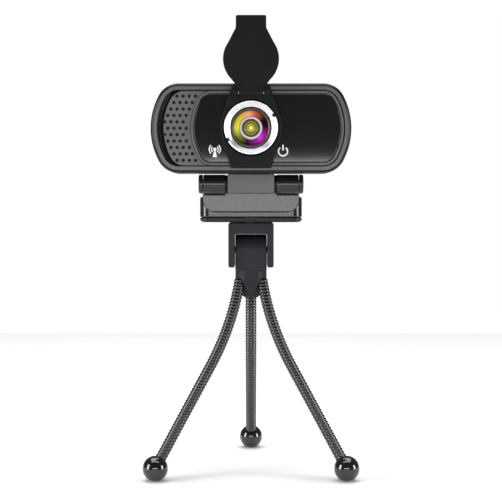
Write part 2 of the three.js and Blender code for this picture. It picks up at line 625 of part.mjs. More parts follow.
// ---------- lens ----------
const lensBarrel = () => turned([
  [barrelInner, -lens.barrelProud], [barrelOuter, -lens.barrelProud],
  [barrelOuter, floorBack + gap], [barrelOuter + lens.barrelFlange, floorBack + gap],
  [barrelOuter + lens.barrelFlange, floorBack + gap + 1.2], [barrelInner, floorBack + gap + 1.2],
  [barrelInner, -lens.barrelProud]], { segments: 28 });

function focusRing() {
  const { ringProud, ringFlange } = lens;
  const ring = turned([
    [ringBore, -0.4], [ringBore, -1.6], [ringOuter - 0.9, -ringProud + 0.5],
    [ringOuter - 0.5, -ringProud], [ringOuter, -ringProud + 0.4],
    [ringOuter, -ringProud + ringFlange], [ringTail, -ringProud + ringFlange],
    [ringTail, 3], [ringBore, 3], [ringBore, -0.4]], { segments: 28 });
  const notch = box([-lens.notchWidth / 2, -ringProud - 1, ringBore + 0.6],
    [lens.notchWidth / 2, -ringProud + 1.6, ringOuter + 1]);
  const tools = [0, 180].map((turn) => notch.rotate([0, lens.notchAngle + turn, 0]));
  return cut(ring, ...tools);
}

const lensCell = () => turned([
  [lens.glassRadius + gap, lens.cellFront], [cellOuter, lens.cellFront],
  [cellOuter, lens.cellShoulder], [cellTail, lens.cellShoulder],
  [cellTail, lens.cellBack], [lens.cellBore, lens.cellBack], [lens.cellBore, lens.secondBack + gap],
  [lens.secondRadius + gap, lens.secondBack + gap], [lens.secondRadius + gap, lens.glassEdge + gap],
  [lens.glassRadius + gap, lens.glassEdge + gap], [lens.glassRadius + gap, lens.cellFront]], { segments: 24 });

const retainingRing = () =>
  tube(lens.glassRadius - 0.5, cellOuter, lens.cellFront - gap - 0.9, lens.cellFront - gap);

/** A lens with a domed face that stands forward by sag at its middle. */
function domedLens(radius, edgeFront, back, sag, segments = 24) {
  const steps = 4;
  const profile = [[0, edgeFront - sag]];
  for (let i = 1; i <= steps; i += 1) {
    const share = i / steps;
    profile.push([radius * share, edgeFront - sag * (1 - share ** 2)]);
  }
  profile.push([radius, back], [0, back]);
  return turned(profile, { segments });
}

function lensMount() {
  const half = cellTail + lens.mountWall;
  const block = box([-half, lens.mountFront, -half], [half, camera.boardFront - gap, half]);
  return cut(block, disc(cellTail + gap, lens.mountFront - 1, camera.boardFront + 1, 24));
}

// ---------- privacy cover ----------
function coverOutline() {
  const { topWidth, bottomWidth } = cover;
  const half = coverHole + cover.side;
  const above = camera.height / 2 - cover.topInset;
  const below = camera.height / 2 - cover.bottomInset;
  return polygon([[topWidth / 2, above], [-topWidth / 2, above], [-half, 3], [-half, -3],
    [-bottomWidth / 2, -below], [bottomWidth / 2, -below], [half, -3], [half, 3]]);
}

function coverFrame() {
  const frame = plate(coverOutline(), coverFront, coverBack);
  const ears = [-1, 1].map((sign) => {
    const [left, right] = ordered(sign * (cover.knuckle / 2 + gap), sign * cover.topWidth / 2);
    return join(rod(cover.hingeRadius, left, right, -hingeProud, coverHingeZ, 16),
      box([left, -hingeProud, coverHingeZ - cover.hingeRadius], [right, coverBack - 0.5, coverHingeZ + 0.9]));
  });
  const bore = rod(cover.pinRadius + gap, -coverHole, coverHole, -hingeProud, coverHingeZ, 12);
  return cut(join(frame, ...ears), disc(coverHole, -2 * coverHole, 0, 28), bore);
}

const adhesive = () => cut(
  plate(coverOutline(), -cover.adhesive - gap, -gap),
  disc(coverHole, -coverHole, 1, 24));

/** The flap standing open, from its hinge at z = 0: a disc on a thinner leaf, which is its neck and its tab. */
function coverFlap() {
  const { flapThickness, flapTab, tabRise, tabLength, leafStep, knuckle } = cover;
  const front = -hingeProud - flapThickness / 2;
  const back = front + flapThickness;
  const centre = coverHingeZ;
  const top = centre + flapRadius + tabRise;
  const neckFoot = 2.2;
  const tangent = (half, rise) => Math.atan2(rise, half) - Math.acos(flapRadius / Math.hypot(half, rise));
  const start = tangent(flapTab / 2, top - tabLength - centre);
  const finish = -tangent(knuckle / 2, centre - neckFoot);
  const shape = new THREE.Shape();
  shape.moveTo(flapTab / 2, top);
  shape.lineTo(flapTab / 2, top - tabLength);
  shape.absarc(0, centre, flapRadius, start, finish, true);
  shape.lineTo(knuckle / 2, neckFoot);
  shape.lineTo(-knuckle / 2, neckFoot);
  shape.absarc(0, centre, flapRadius, Math.PI - finish, Math.PI - start, true);
  shape.lineTo(-flapTab / 2, top - tabLength);
  shape.lineTo(-flapTab / 2, top);
  shape.closePath();
  const leaf = plate(shape, front + leafStep, back, 6);
  const face = disc(flapRadius, front, back, 32).translate([0, 0, centre]);
  const half = knuckle / 2;
  const hinge = join(rod(cover.hingeRadius, -half, half, -hingeProud, 0, 16),
    box([-half, front + leafStep, 0], [half, back, neckFoot + 0.8]));
  const bore = rod(cover.pinRadius + gap, -coverHole, coverHole, -hingeProud, 0, 12);
  return cut(join(leaf, face, hinge), bore).translate([0, 0, coverHingeZ]);
}

// ---------- the assembly ----------
const object = new THREE.Group();
object.position.y = shiftY;

function add(group, name, body, material) {
  const mesh = new THREE.Mesh(geometryOf(body), material);
  mesh.name = name;
  group.add(mesh);
}

function assembly(x, y, z) {
  const group = new THREE.Group();
  group.position.set(x, y, z);
  object.add(group);
  return group;
}

function addTripod() {
  const group = assembly(0, 0, 0);
  ['rear', 'front_left', 'front_right'].forEach((place, index) => {
    const side = new THREE.Group();
    side.rotation.z = legAngle(index);
    group.add(side);
    add(side, `leg_${place}`, legTube(), looks.gooseneck());
    add(side, `foot_${place}`, foot(), looks.gloss());
  });
  add(group, 'leg_hub', hub(), looks.head());
  add(group, 'head_clevis', head(), looks.head());
  const pinHalf = tripod.hubRadius + gap + tripod.cheek;
  add(group, 'tilt_pin', rod(tripod.pinRadius, -pinHalf, pinHalf, 0, pinZ, 16), looks.steel());
  add(group, 'tripod_screw', stud(), looks.brass());
}

function addClip() {
  const group = assembly(0, 0, baseZ);
  add(group, 'base_shell', baseShell(), looks.clip());
  add(group, 'base_bottom', baseCover(), looks.matt());
  add(group, 'tripod_insert', insert(), looks.brass());
  const padFloor = clip.baseHeight - clip.padThickness;
  add(group, 'base_pad', slab(padOutline(clip.padMargin), padFloor, clip.baseHeight), looks.rubber());
  screwPlaces().forEach(([x, y], i) => add(group, `base_screw_${i ? 'right' : 'left'}`,
    screw(2, 0.8, 1, baseCeiling() - clip.screwRoom).translate([x, y, gap / 3]), looks.steel()));
  add(group, 'clip_arm', arm(), looks.clip());
  add(group, 'arm_pad', armPad(), looks.rubber());
  const rearHalf = clip.baseWidth / 2 - clip.hingeCapWidth - gap;
  add(group, 'arm_hinge_pin', rod(clip.hingePinRadius, -rearHalf, rearHalf, hingeY, hingeZ, 12), looks.steel());
  const frontHalf = clip.baseWidth / 2 - clip.capWidth - gap;
  add(group, 'camera_hinge_pin', rod(clip.barrelPinRadius, -frontHalf, frontHalf, barrelY, barrelZ, 16),
    looks.steel());
  for (const [side, sign] of [['left', -1], ['right', 1]]) {
    const rear = ordered(sign * (rearHalf + gap), sign * clip.baseWidth / 2);
    const front = ordered(sign * (frontHalf + gap), sign * clip.baseWidth / 2);
    const washer = ordered(sign * (clip.lugWidth / 2 + gap), sign * (clip.lugWidth / 2 + gap + clip.washerWidth));
    add(group, `arm_hinge_cap_${side}`, rod(clip.hingeRadius, ...rear, hingeY, hingeZ), looks.clip());
    add(group, `camera_hinge_cap_${side}`, rod(clip.barrelRadius, ...front, barrelY, barrelZ, 18), looks.clip());
    const bore = rod(clip.barrelPinRadius + gap, -30, 30, barrelY, barrelZ);
    add(group, `friction_washer_${side}`, cut(rod(clip.barrelRadius - 0.6, ...washer, barrelY, barrelZ), bore),
      looks.steel());
  }
  add(group, 'hinge_lug', lug(), looks.grey());
}

function addCamera() {
  const group = assembly(0, panelY, lensZ);
  const { boardFront, boardThickness, depth } = camera;
  const boardBack = boardFront + boardThickness;
  add(group, 'rear_shell', rearShell(), looks.shell());
  add(group, 'front_bezel', bezel(), looks.gloss());
  add(group, 'mic_grille', grille(), looks.grey());
  add(group, 'panel_surround', surround(), looks.grey());
  add(group, 'front_panel', panel(), looks.gloss());
  add(group, 'lens_barrel', lensBarrel(), looks.matt());
  add(group, 'focus_ring', focusRing(), looks.ring());
  add(group, 'lens_cell', lensCell(), looks.matt());
  add(group, 'lens_retaining_ring', retainingRing(), looks.matt());
  add(group, 'front_lens', domedLens(lens.glassRadius, lens.glassFront, lens.glassEdge, lens.glassDome),
    looks.glass());
  add(group, 'second_lens', domedLens(lens.secondRadius, lens.secondFront + 0.8, lens.secondBack, 0.8, 20),
    looks.glass());
  add(group, 'lens_mount', lensMount(), looks.matt());
  const half = lens.sensorSize / 2;
  const sensorFront = boardFront - gap - lens.sensorThickness;
  add(group, 'image_sensor', box([-half, sensorFront, -half], [half, boardFront - gap, half]), looks.gloss());
  add(group, 'ir_filter', disc(lens.filterRadius, lens.cellBack + gap, lens.cellBack + gap + 0.5), looks.clear());
  const board = plate(roundedRectangle(boardWidth, camera.boardHeight, 2), boardFront, boardBack);
  add(group, 'main_board', cut(board, ...boardPlaces.map(([x, z]) => roundHole(1.3, 0, depth, x, z, 12))),
    looks.board());
  const [portX, portZ] = dimplePlace(camera.portRow, camera.portColumn);
  add(group, 'microphone', roundHole(2.9, floorBack + gap, floorBack + gap + 2.4, portX, portZ), looks.rubber());
  pipePlaces.forEach((x, i) => {
    const name = i ? 'power' : 'signal';
    const led = boardFront - gap - 0.7;
    add(group, `light_pipe_${name}`,
      roundHole(camera.pipeRadius, camera.panelThickness + gap, led - gap, x, -camera.symbolDrop, 12), looks.clear());
    add(group, `led_${name}`, box([x - 1, led, -camera.symbolDrop - 0.6],
      [x + 1, boardFront - gap, -camera.symbolDrop + 0.6]), looks.clear());
  });
  add(group, 'cable_connector', box([-5, boardBack + gap, -11], [5, boardBack + 4, -7]), looks.clear());
  const glandBack = depth - 0.2;
  add(group, 'cable_gland', cut(disc(camera.glandRadius, depth - 4.5, glandBack, 20)
    .translate([0, 0, camera.glandZ]), roundHole(1.7, 0, depth + 9, 0, camera.glandZ, 12)), looks.rubber());
  casePlaces.forEach(([x, z], i) => {
    const body = turned([[0, 0], [2, 0], [2, 0.9], [1, 0.9], [1, 9], [0, 9]], { segments: 8 });
    add(group, `case_screw_${i + 1}`, body.translate([x, camera.floorFront + 0.2, z]), looks.steel());
  });
  boardPlaces.forEach(([x, z], i) => {
    const body = turned([[0, 0], [2, 0], [2, 1], [1, 1], [1, 8], [0, 8]], { segments: 8 });
    add(group, `board_screw_${i ? 'right' : 'left'}`, body.translate([x, boardFront - gap - 1, z]), looks.steel());
  });
  add(group, 'cover_frame', coverFrame(), looks.matt());
  add(group, 'cover_adhesive', adhesive(), looks.clear());
  add(group, 'cover_flap', coverFlap(), looks.matt());
  const pinHalf = cover.topWidth / 2 - 0.2;
  add(group, 'cover_hinge_pin', rod(cover.pinRadius, -pinHalf, pinHalf, -hingeProud, coverHingeZ, 10),
    looks.steel());
}

addTripod();
addClip();
addCamera();

export default object;
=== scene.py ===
import json
import math
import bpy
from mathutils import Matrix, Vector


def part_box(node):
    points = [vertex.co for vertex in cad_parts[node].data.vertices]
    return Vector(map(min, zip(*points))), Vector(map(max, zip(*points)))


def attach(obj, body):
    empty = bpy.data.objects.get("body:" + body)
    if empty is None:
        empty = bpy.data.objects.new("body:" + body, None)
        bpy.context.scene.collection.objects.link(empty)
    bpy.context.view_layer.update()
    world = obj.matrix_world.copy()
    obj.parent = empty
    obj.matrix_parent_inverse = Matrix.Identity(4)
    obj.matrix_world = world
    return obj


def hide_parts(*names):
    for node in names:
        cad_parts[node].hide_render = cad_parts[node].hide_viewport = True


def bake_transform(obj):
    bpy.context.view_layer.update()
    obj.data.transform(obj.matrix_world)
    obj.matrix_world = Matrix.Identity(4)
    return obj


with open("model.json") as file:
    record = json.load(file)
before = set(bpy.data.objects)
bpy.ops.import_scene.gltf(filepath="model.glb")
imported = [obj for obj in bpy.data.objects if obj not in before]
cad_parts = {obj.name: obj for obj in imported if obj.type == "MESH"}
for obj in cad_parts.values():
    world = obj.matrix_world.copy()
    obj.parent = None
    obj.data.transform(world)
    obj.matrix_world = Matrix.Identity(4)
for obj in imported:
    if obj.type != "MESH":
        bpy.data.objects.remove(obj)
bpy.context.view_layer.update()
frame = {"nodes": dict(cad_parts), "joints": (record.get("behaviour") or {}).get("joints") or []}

from types import SimpleNamespace as Sizes

import bmesh
import bpy
from mathutils import Matrix, Vector

# Webcam on a gooseneck tripod. Sizes and places in the functions are millimetres; MM turns them
# to metres when a mesh is made. The lens looks along -Y.
MM = 0.001
GAP = 0.3  # between two pieces that touch
QUARTER = math.pi / 2

# ---------- sizes ----------
tripod = Sizes(
    leg_radius=2.75, start_angle=10.5, end_angle=32.5, bend_radius=116, straight=54,
    wire_pitch=1.6, wire_depth=0.42, blend_length=16, ball_radius=6, flat_radius=1.8, socket_length=7.5,
    hub_radius=7.6, tip_radius=4, below_roots=9, above_roots=5.6, tongue_radius=7.5,
    pin_radius=1.6, head_half=10.9, head_depth=19, cheek=3, cheek_drop=8.3, bridge=5.5, stud_radius=3.175,
)
clip = Sizes(
    width=48.6, depth=32, height=12, corner=5, wall=1.8, cover_height=1.9, chamfer=1,
    pad_margin=2.2, pad_corner=4, pad_thickness=1, insert_radius=4.4, insert_top=8.1,
    hinge_radius=3.1, hinge_pin=1.1, cap=0.9, ear=3.3, arm_knuckle=11.5, centre_knuckle=15.4,
    arm_top=19.7, arm_thickness=4.2, arm_width=45.4, arm_corner=3.5, lip_gap=0.6, lip_thickness=3.5,
    lip_bottom=4.6, lip_corner=6, barrel_radius=4.4, barrel_pin=1.5, barrel_cap=1.9, washer=0.5,
    lug_width=21.6, lug_height=4.6, lug_tenon=8, heel=4.6, screw_inset=8,
)
body = Sizes(
    depth=30, rim=3.3, grille_rim=5.7, rim_setback=0.8, rim_round=1.9, seam=6, wall=1.8,
    dome_depth=10, dome_inset=7, crown=0.9, floor_front=3.3, floor_back=4.8,
    panel_left=-26, panel_thickness=1.4, panel_edge=0.35, band=1.1, proud=0.3, tray_front=1.7, tray_back=3,
    grille_front=1.6, rows=11, columns=4, row_pitch=2.92, column_pitch=2.8, grille_left=-39.4,
    dimple_radius=0.8, dimple_depth=1.05, port_row=9, port_column=2,
    signal_x=-16.5, power_x=14.6, mark_z=-10.6, pipe_radius=1.5, post_radius=3, case_x=36, case_z=9,
    board_x=26, board_z=8, board_back=16.3, gland_z=-9, gland_radius=3.4,
)
lens = Sizes(
    bore=12.6, barrel_outer=12.3, barrel_inner=11.3, barrel_front=-3.6, flange=14.4,
    ring_outer=12.2, ring_bore=9.5, ring_front=-4.8, funnel_back=-1.6, tail=11.0, tail_back=3,
    grooves=6, groove_depth=0.11, notch_width=1.6, notch_angle=62,
    cell_outer=9.2, glass_radius=8.4, glass_edge=1.1, glass_back=3.2, dome=2.1,
)
cover = Sizes(
    front=-4.5, back=-1.1, hole=12.7, shoulder=13.9, top_half=8.4, bottom_half=9.3, above=19.6, below=18.3,
    hinge_y=-6.1, hinge_z=15.3, hinge_radius=1.1, pin_radius=0.5, knuckle_half=5.5,
    flap_thickness=1.8, flap_radius=12.6, neck_foot=2.2, tab_half=6.85, tab_rise=7, tab_length=5.6, step=0.5,
)

# ---------- places, from the frame ----------
joint_at = {joint["name"]: Vector(joint["pos_m"]) / MM for joint in frame["joints"]}
bodies_of = {joint["name"]: joint["child"] for joint in frame["joints"]}


def lowest(node):
    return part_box(node)[0] / MM


def highest(node):
    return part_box(node)[1] / MM


AXIS_Y = joint_at["webcam_pan"].y
LENS_AT = joint_at["focus_turn"]
CLIP_AT = Vector((0, AXIS_Y, lowest("base_bottom").z))
PIN_AT = joint_at["head_tilt"]
ROOT_Z = joint_at["leg_back_bend"].z
HEAD_TOP = highest("head_clevis").z
BARREL = joint_at["camera_tilt"] - CLIP_AT
HINGE = joint_at["clip_fold"] - CLIP_AT
ORIGIN = Vector((0, 0, 0))


# ---------- node trees ----------
def srgb(code):
    """An sRGB hex colour as linear red, green, blue and alpha."""
    shares = [int(code[i:i + 2], 16) / 255 for i in (1, 3, 5)]
    linear = [share / 12.92 if share <= 0.04045 else ((share + 0.055) / 1.055) ** 2.4 for share in shares]
    return (*linear, 1.0)


def add(tree, kind, inputs=None, stops=None, **settings):
    """A node with its settings; each input is a value, a socket, or a node whose first output feeds it."""
    made = tree.nodes.new(kind)
    for name, value in settings.items():
        setattr(made, name, value)
    for name, value in (inputs or {}).items():
        if isinstance(value, bpy.types.Node):
            value = value.outputs[0]
        if isinstance(value, bpy.types.NodeSocket):
            tree.links.new(value, made.inputs[name])
        else:
            made.inputs[name].default_value = value
    if stops:
        ramp = made.color_ramp.elements
        while len(ramp) < len(stops):
            ramp.new(1.0)
        for element, (place, code) in zip(ramp, stops):
            element.position = place
            element.color = srgb(code)
    return made


def per_metre(size):
    """The texture scale at which one feature is this many millimetres across."""
    return 1 / (size * MM)


def finish_named(name, roughness, metallic=0.0):
    material = bpy.data.materials.new(name)
    material.use_nodes = True
    shader = material.node_tree.nodes["Principled BSDF"]
    shader.inputs["Roughness"].default_value = roughness
    shader.inputs["Metallic"].default_value = metallic
    return material, material.node_tree, shader


def moulded(name, light, dark, roughness, grain, relief, coat=0.0, specular=0.5):
    """Injection-moulded plastic: the colour drifts a little with the flow, over the mould's eroded grain."""
    material, tree, shader = finish_named(name, roughness)
    place = add(tree, "ShaderNodeTexCoord").outputs["Object"]
    drift = add(tree, "ShaderNodeTexNoise", {"Vector": place, "Scale": per_metre(18), "Detail": 3.0})
    tone = add(tree, "ShaderNodeValToRGB", {"Fac": drift}, stops=[(0.3, dark), (0.7, light)])
    pits = add(tree, "ShaderNodeTexNoise", {"Vector": place, "Scale": per_metre(grain), "Detail": 4.0})
    shine = add(tree, "ShaderNodeMapRange", {
        "Value": pits, "From Min": 0.3, "From Max": 0.7,
        "To Min": roughness * 0.88, "To Max": roughness * 1.12})
    bump = add(tree, "ShaderNodeBump", {"Height": pits, "Distance": relief * MM, "Strength": 1.0})
    tree.links.new(tone.outputs["Color"], shader.inputs["Base Color"])
    tree.links.new(shine.outputs[0], shader.inputs["Roughness"])
    tree.links.new(bump.outputs["Normal"], shader.inputs["Normal"])
    shader.inputs["Specular IOR Level"].default_value = specular
    shader.inputs["Coat Weight"].default_value = coat
    shader.inputs["Coat Roughness"].default_value = 0.06
    return material


def turned_metal(name, light, dark, roughness, pitch, relief, middle=ORIGIN, across=(0, 1, 0)):
    """Metal from a lathe: fine rings about its axis and a slight drift of tone."""
    material, tree, shader = finish_named(name, roughness, metallic=1.0)
    place = add(tree, "ShaderNodeTexCoord").outputs["Object"]
    centred = add(tree, "ShaderNodeMapping", {"Vector": place, "Location": -Vector(middle) * MM})
    flat = add(tree, "ShaderNodeVectorMath", {0: centred, 1: [1 - value for value in across]},
               operation="MULTIPLY")
    reach = add(tree, "ShaderNodeVectorMath", {0: flat}, operation="LENGTH")
    rings = add(tree, "ShaderNodeMath", {0: reach.outputs["Value"], 1: math.tau / (pitch * MM)},
                operation="MULTIPLY")
    wave = add(tree, "ShaderNodeMath", {0: rings}, operation="SINE")
    grit = add(tree, "ShaderNodeTexNoise", {"Vector": place, "Scale": per_metre(2.5), "Detail": 5.0})
    tone = add(tree, "ShaderNodeValToRGB", {"Fac": grit}, stops=[(0.35, dark), (0.65, light)])
    shine = add(tree, "ShaderNodeMapRange", {
        "Value": grit, "To Min": roughness * 0.8, "To Max": roughness * 1.25})
    bump = add(tree, "ShaderNodeBump", {"Height": wave, "Distance": relief * MM, "Strength": 1.0})
    tree.links.new(tone.outputs["Color"], shader.inputs["Base Color"])
    tree.links.new(shine.outputs[0], shader.inputs["Roughness"])
    tree.links.new(bump.outputs["Normal"], shader.inputs["Normal"])
    return material


def coated_glass():
    """Wide-angle front element, anti-reflection coated. Its colour is painted reflection: the coating's
    reflections are painted in lime, amber and magenta round a pale inner rim, with an olive eye and a
    painted highlight at the middle, and it is darker towards the rim. The glass also glows faintly in these
    colours, which is painted light."""
    material, tree, shader = finish_named("coated_lens_glass", 0.04)
    place = add(tree, "ShaderNodeTexCoord").outputs["Object"]
    centred = add(tree, "ShaderNodeMapping", {"Vector": place, "Location": -LENS_AT * MM})
    axes = add(tree, "ShaderNodeSeparateXYZ", {"Vector": centred})
    flat = add(tree, "ShaderNodeCombineXYZ", {"X": axes.outputs["X"], "Y": axes.outputs["Z"]})
    radius = add(tree, "ShaderNodeVectorMath", {0: flat}, operation="LENGTH")
    share = add(tree, "ShaderNodeMath", {0: radius.outputs["Value"], 1: lens.glass_radius * MM},
                operation="DIVIDE")
    angle = add(tree, "ShaderNodeMath", {0: axes.outputs["Z"], 1: axes.outputs["X"]}, operation="ARCTAN2")
    turn = add(tree, "ShaderNodeMapRange", {"Value": angle, "From Min": -math.pi, "From Max": math.pi})
    # Painted reflection of the coating, coloured by the angle round the lens.
    painted_coating_reflection = add(tree, "ShaderNodeValToRGB", {"Fac": turn}, stops=[
        (0.0, "#cfd232"), (0.1, "#6d7414"), (0.2, "#0c0a0c"), (0.3, "#7a0d72"), (0.37, "#d21fc8"),
        (0.45, "#7a1270"), (0.52, "#0a080a"), (0.6, "#1c0c06"), (0.7, "#b3532a"), (0.77, "#ee9a70"),
        (0.84, "#d9a63c"), (0.92, "#c9bd2e"), (1.0, "#cfd232")])
    # Painted reflections of the inner elements, by radius, with a painted highlight at the very middle.
    eye = add(tree, "ShaderNodeValToRGB", {"Fac": share}, stops=[
        (0.0, "#fff6c4"), (0.06, "#e8d860"), (0.12, "#6f6a1c"), (0.19, "#a39a3a"), (0.25, "#4a4714"),
        (0.33, "#7c7430"), (0.42, "#3a3612"), (0.49, "#4e4a3a"), (0.53, "#cbc3d6"), (0.59, "#a79fb2"),
        (0.64, "#2a2428")])
    outside = add(tree, "ShaderNodeMapRange", {"Value": share, "From Min": 0.6, "From Max": 0.68},
                  interpolation_type="SMOOTHSTEP")
    edge = add(tree, "ShaderNodeMapRange", {"Value": share, "From Min": 0.9, "From Max": 0.99,
                                            "To Min": 1.0, "To Max": 0.12})
    both = add(tree, "ShaderNodeMix", {0: outside, 6: eye, 7: painted_coating_reflection}, data_type="RGBA")
    dimmed = add(tree, "ShaderNodeMix", {0: 1.0, 6: both.outputs[2], 7: edge}, data_type="RGBA",
                 blend_type="MULTIPLY")
    tree.links.new(dimmed.outputs[2], shader.inputs["Base Color"])
    # Painted light: the glass glows faintly in its painted colours, though it is no lamp.
    tree.links.new(dimmed.outputs[2], shader.inputs["Emission Color"])
    shader.inputs["Emission Strength"].default_value = 0.45
    shader.inputs["IOR"].default_value = 1.62
    shader.inputs["Specular IOR Level"].default_value = 0.08
    return material


# ---------- materials ----------
# Spark-eroded black ABS: a deep grey that scatters light softly over a fine even grain.
shell_abs = moulded("spark_eroded_black_abs", "#232325", "#1e1e20", 0.42, 1.1, 0.014, specular=0.35)
# Polished black ABS round the front: dark with soft bright edges.
rim_abs = moulded("polished_black_abs", "#131315", "#0f0f11", 0.22, 2.5, 0.002, specular=0.18)
# The flat along the rim: the rim's own black ABS painted a lighter grey, a painted highlight that makes a
# line round the front.
rim_flat_painted_highlight = moulded("painted_highlight_rim_abs", "#58585a", "#505052", 0.34, 1.0, 0.004, specular=0.3)
# Satin grey ABS of the grille and the line round the panel: even mid grey, no gloss.
grey_abs = moulded("satin_grey_abs", "#5a5a5c", "#535355", 0.42, 0.9, 0.006, specular=0.3)
# Smoked acrylic window: near black, mirror-smooth, its back face painted.
panel_acrylic = moulded("smoked_acrylic", "#141415", "#101011", 0.06, 6.0, 0.0006)
# Black fibre-filled ABS of the inner parts: matt, never sees light. The grille's dimples are also lined with
# it, as painted shade.
inner_abs_and_painted_shade = moulded("matt_black_abs", "#141415", "#0f0f10", 0.7, 0.8, 0.01)
# Satin clip ABS: black where it turns away, light grey where a flat faces the light.
clip_abs = moulded("satin_clip_abs", "#171718", "#131314", 0.2, 1.0, 0.004)
# The clip's thin base cover, the same ABS in black.
cover_abs = moulded("black_base_abs", "#0f0f10", "#0c0c0d", 0.38, 1.0, 0.008, specular=0.3)
# Matt polycarbonate privacy cover: flat black with a fine texture and faintly lighter edges.
privacy_pc = moulded("matt_black_polycarbonate", "#121213", "#0f0f0f", 0.5, 0.7, 0.012, specular=0.12)
# Nylon of the tripod hub and head: black with a violet cast, waxy satin.
head_nylon = moulded("violet_black_nylon", "#26252c", "#201f26", 0.45, 1.2, 0.012, specular=0.15)
# Lacquered steel coil: black, smooth on each turn, a bead of light on every rib.
coil_lacquer = moulded("black_lacquered_steel_coil", "#0e0e0f", "#0a0a0b", 0.2, 1.5, 0.003, coat=0.6)
# Phenolic ball: jet black and glass-smooth.
ball_phenolic = moulded("polished_black_phenolic", "#0b0b0c", "#080809", 0.08, 8.0, 0.0005, coat=0.6)
# Silicone pads: black, with one wide soft highlight and no grain to speak of.
pad_silicone = moulded("black_silicone", "#0c0c0c", "#090909", 0.4, 0.8, 0.006)
# Epoxy-glass board under green solder mask.
board_mask = moulded("green_solder_mask", "#1f5a34", "#184a2a", 0.35, 2.0, 0.01)
# Epoxy chip packages: dull black, slightly grainy.
chip_epoxy = moulded("chip_epoxy", "#1a1a1c", "#141416", 0.55, 0.5, 0.008)
# Milky polycarbonate light pipes and LED lenses.
milky_pc = moulded("milky_polycarbonate", "#d4dadb", "#c6cdd0", 0.25, 3.0, 0.002)
# Double-sided foam tape: black, soft and open-grained.
foam_tape = moulded("black_foam_tape", "#272727", "#202020", 0.85, 0.5, 0.03, specular=0.15)
# Blue absorbing filter glass in front of the sensor.
filter_glass = moulded("blue_filter_glass", "#7fb7b0", "#74aca8", 0.05, 9.0, 0.0004)
# White pad-printed ink on the window: opaque, a little satin.
print_ink = moulded("white_print_ink", "#f4f4f2", "#e9e9e7", 0.4, 0.8, 0.003)
# Copper-coloured brass stud, freshly cut.
stud_brass = turned_metal("copper_brass", "#c98a5c", "#b87a4a", 0.3, 0.3, 0.002,
                          middle=(0, AXIS_Y, 0), across=(0, 0, 1))
# Free-cutting brass insert.
insert_brass = turned_metal("cut_brass", "#c8a55a", "#b8954a", 0.32, 0.3, 0.002,
                            middle=(0, AXIS_Y, 0), across=(0, 0, 1))
# Ground steel pins and zinc-plated screws: cool grey, fine tooling.
pin_steel = turned_metal("ground_steel", "#a6a6aa", "#94949a", 0.3, 0.4, 0.001,
                         middle=PIN_AT, across=(1, 0, 0))
# Spring steel washers, oil-blackened: near black with a dull sheen.
washer_steel = turned_metal("blackened_spring_steel", "#242426", "#1b1b1d", 0.42, 0.4, 0.001,
                            middle=PIN_AT, across=(1, 0, 0))
# Diamond-turned aluminium focus ring: near-white with a cool cast, fine tool rings.
ring_aluminium = turned_metal("turned_aluminium", "#f2f3f6", "#e6e8ee", 0.34, 0.28, 0.0025,
                              middle=LENS_AT, across=(0, 1, 0))
# Bronze-anodised retaining ring: warm grey, darker and softer than the focus ring round it.
ring_bronze = turned_metal("bronze_anodised_aluminium", "#4f4741", "#443d38", 0.38, 0.3, 0.002,
                           middle=LENS_AT, across=(0, 1, 0))
lens_glass = coated_glass()


# ---------- outlines ----------
def filleted(corners, steps=6):
    """A closed outline through (a, b, radius) corners, each rounded to its radius."""
    outline = []
    for i, (a, b, radius) in enumerate(corners):
        here = Vector((a, b))
        if radius == 0:
            outline.append(here)
            continue
        before = (Vector(corners[i - 1][:2]) - here).normalized()
        after = (Vector(corners[(i + 1) % len(corners)][:2]) - here).normalized()
        half = before.angle(after) / 2
        centre = here + (before + after).normalized() * radius / math.sin(half)
        start = here + before * radius / math.tan(half) - centre
        end = here + after * radius / math.tan(half) - centre
        sweep = math.atan2(start.x * end.y - start.y * end.x, start.dot(end))
        outline += [centre + Matrix.Rotation(sweep * k / steps, 2) @ start for k in range(steps + 1)]
    return outline


def arc(radius, start, end, steps, centre=(0, 0)):
    """Points along an arc, from one angle to another in radians."""
    angles = [start + (end - start) * k / steps for k in range(steps + 1)]
    return [Vector((centre[0] + radius * math.cos(a), centre[1] + radius * math.sin(a))) for a in angles]


def rectangle(half_a, half_b, corner=0.0, inset=0.0):
    a = half_a - inset
    b = half_b - inset
    radius = corner - inset if corner else 0.0
    return filleted([(a, b, radius), (-a, b, radius), (-a, -b, radius), (a, -b, radius)], steps=10)


def bowed(left, right, height, corner, end):
    """A flat bar whose ends bow outwards: each corner arc runs on into one wide arc."""
    rise = height / 2 - corner
    bow = (corner ** 2 - end ** 2 - rise ** 2) / (2 * (corner - end))
    turn = math.atan2(rise, bow - end)
    return (
        arc(corner, QUARTER, turn, 12, (right - end, rise))[:-1]
        + arc(bow, turn, -turn, 18, (right - bow, 0))[:-1]
        + arc(corner, -turn, -QUARTER, 12, (right - end, -rise))
        + arc(corner, -QUARTER, turn - math.pi, 12, (left + end, -rise))[:-1]
        + arc(bow, math.pi + turn, math.pi - turn, 18, (left + bow, 0))[:-1]
        + arc(corner, math.pi - turn, QUARTER, 12, (left + end, rise))
    )


def inset(bar, by):
    """The same bar with its edge moved inwards all round."""
    left, right, height, corner, end = bar
    return (left + by, right - by, height - 2 * by, corner - by, end - by)


def reaching(bar, left):
    return (left, *bar[1:])


body_bar = (-46, 46, 41, 10.5, 13)
opening_bar = reaching(inset(body_bar, body.rim), body_bar[0] + body.grille_rim)
surround_bar = reaching(inset(opening_bar, GAP), body.panel_left - body.band - GAP)
pocket_bar = inset(surround_bar, body.band)
panel_bar = inset(pocket_bar, GAP)


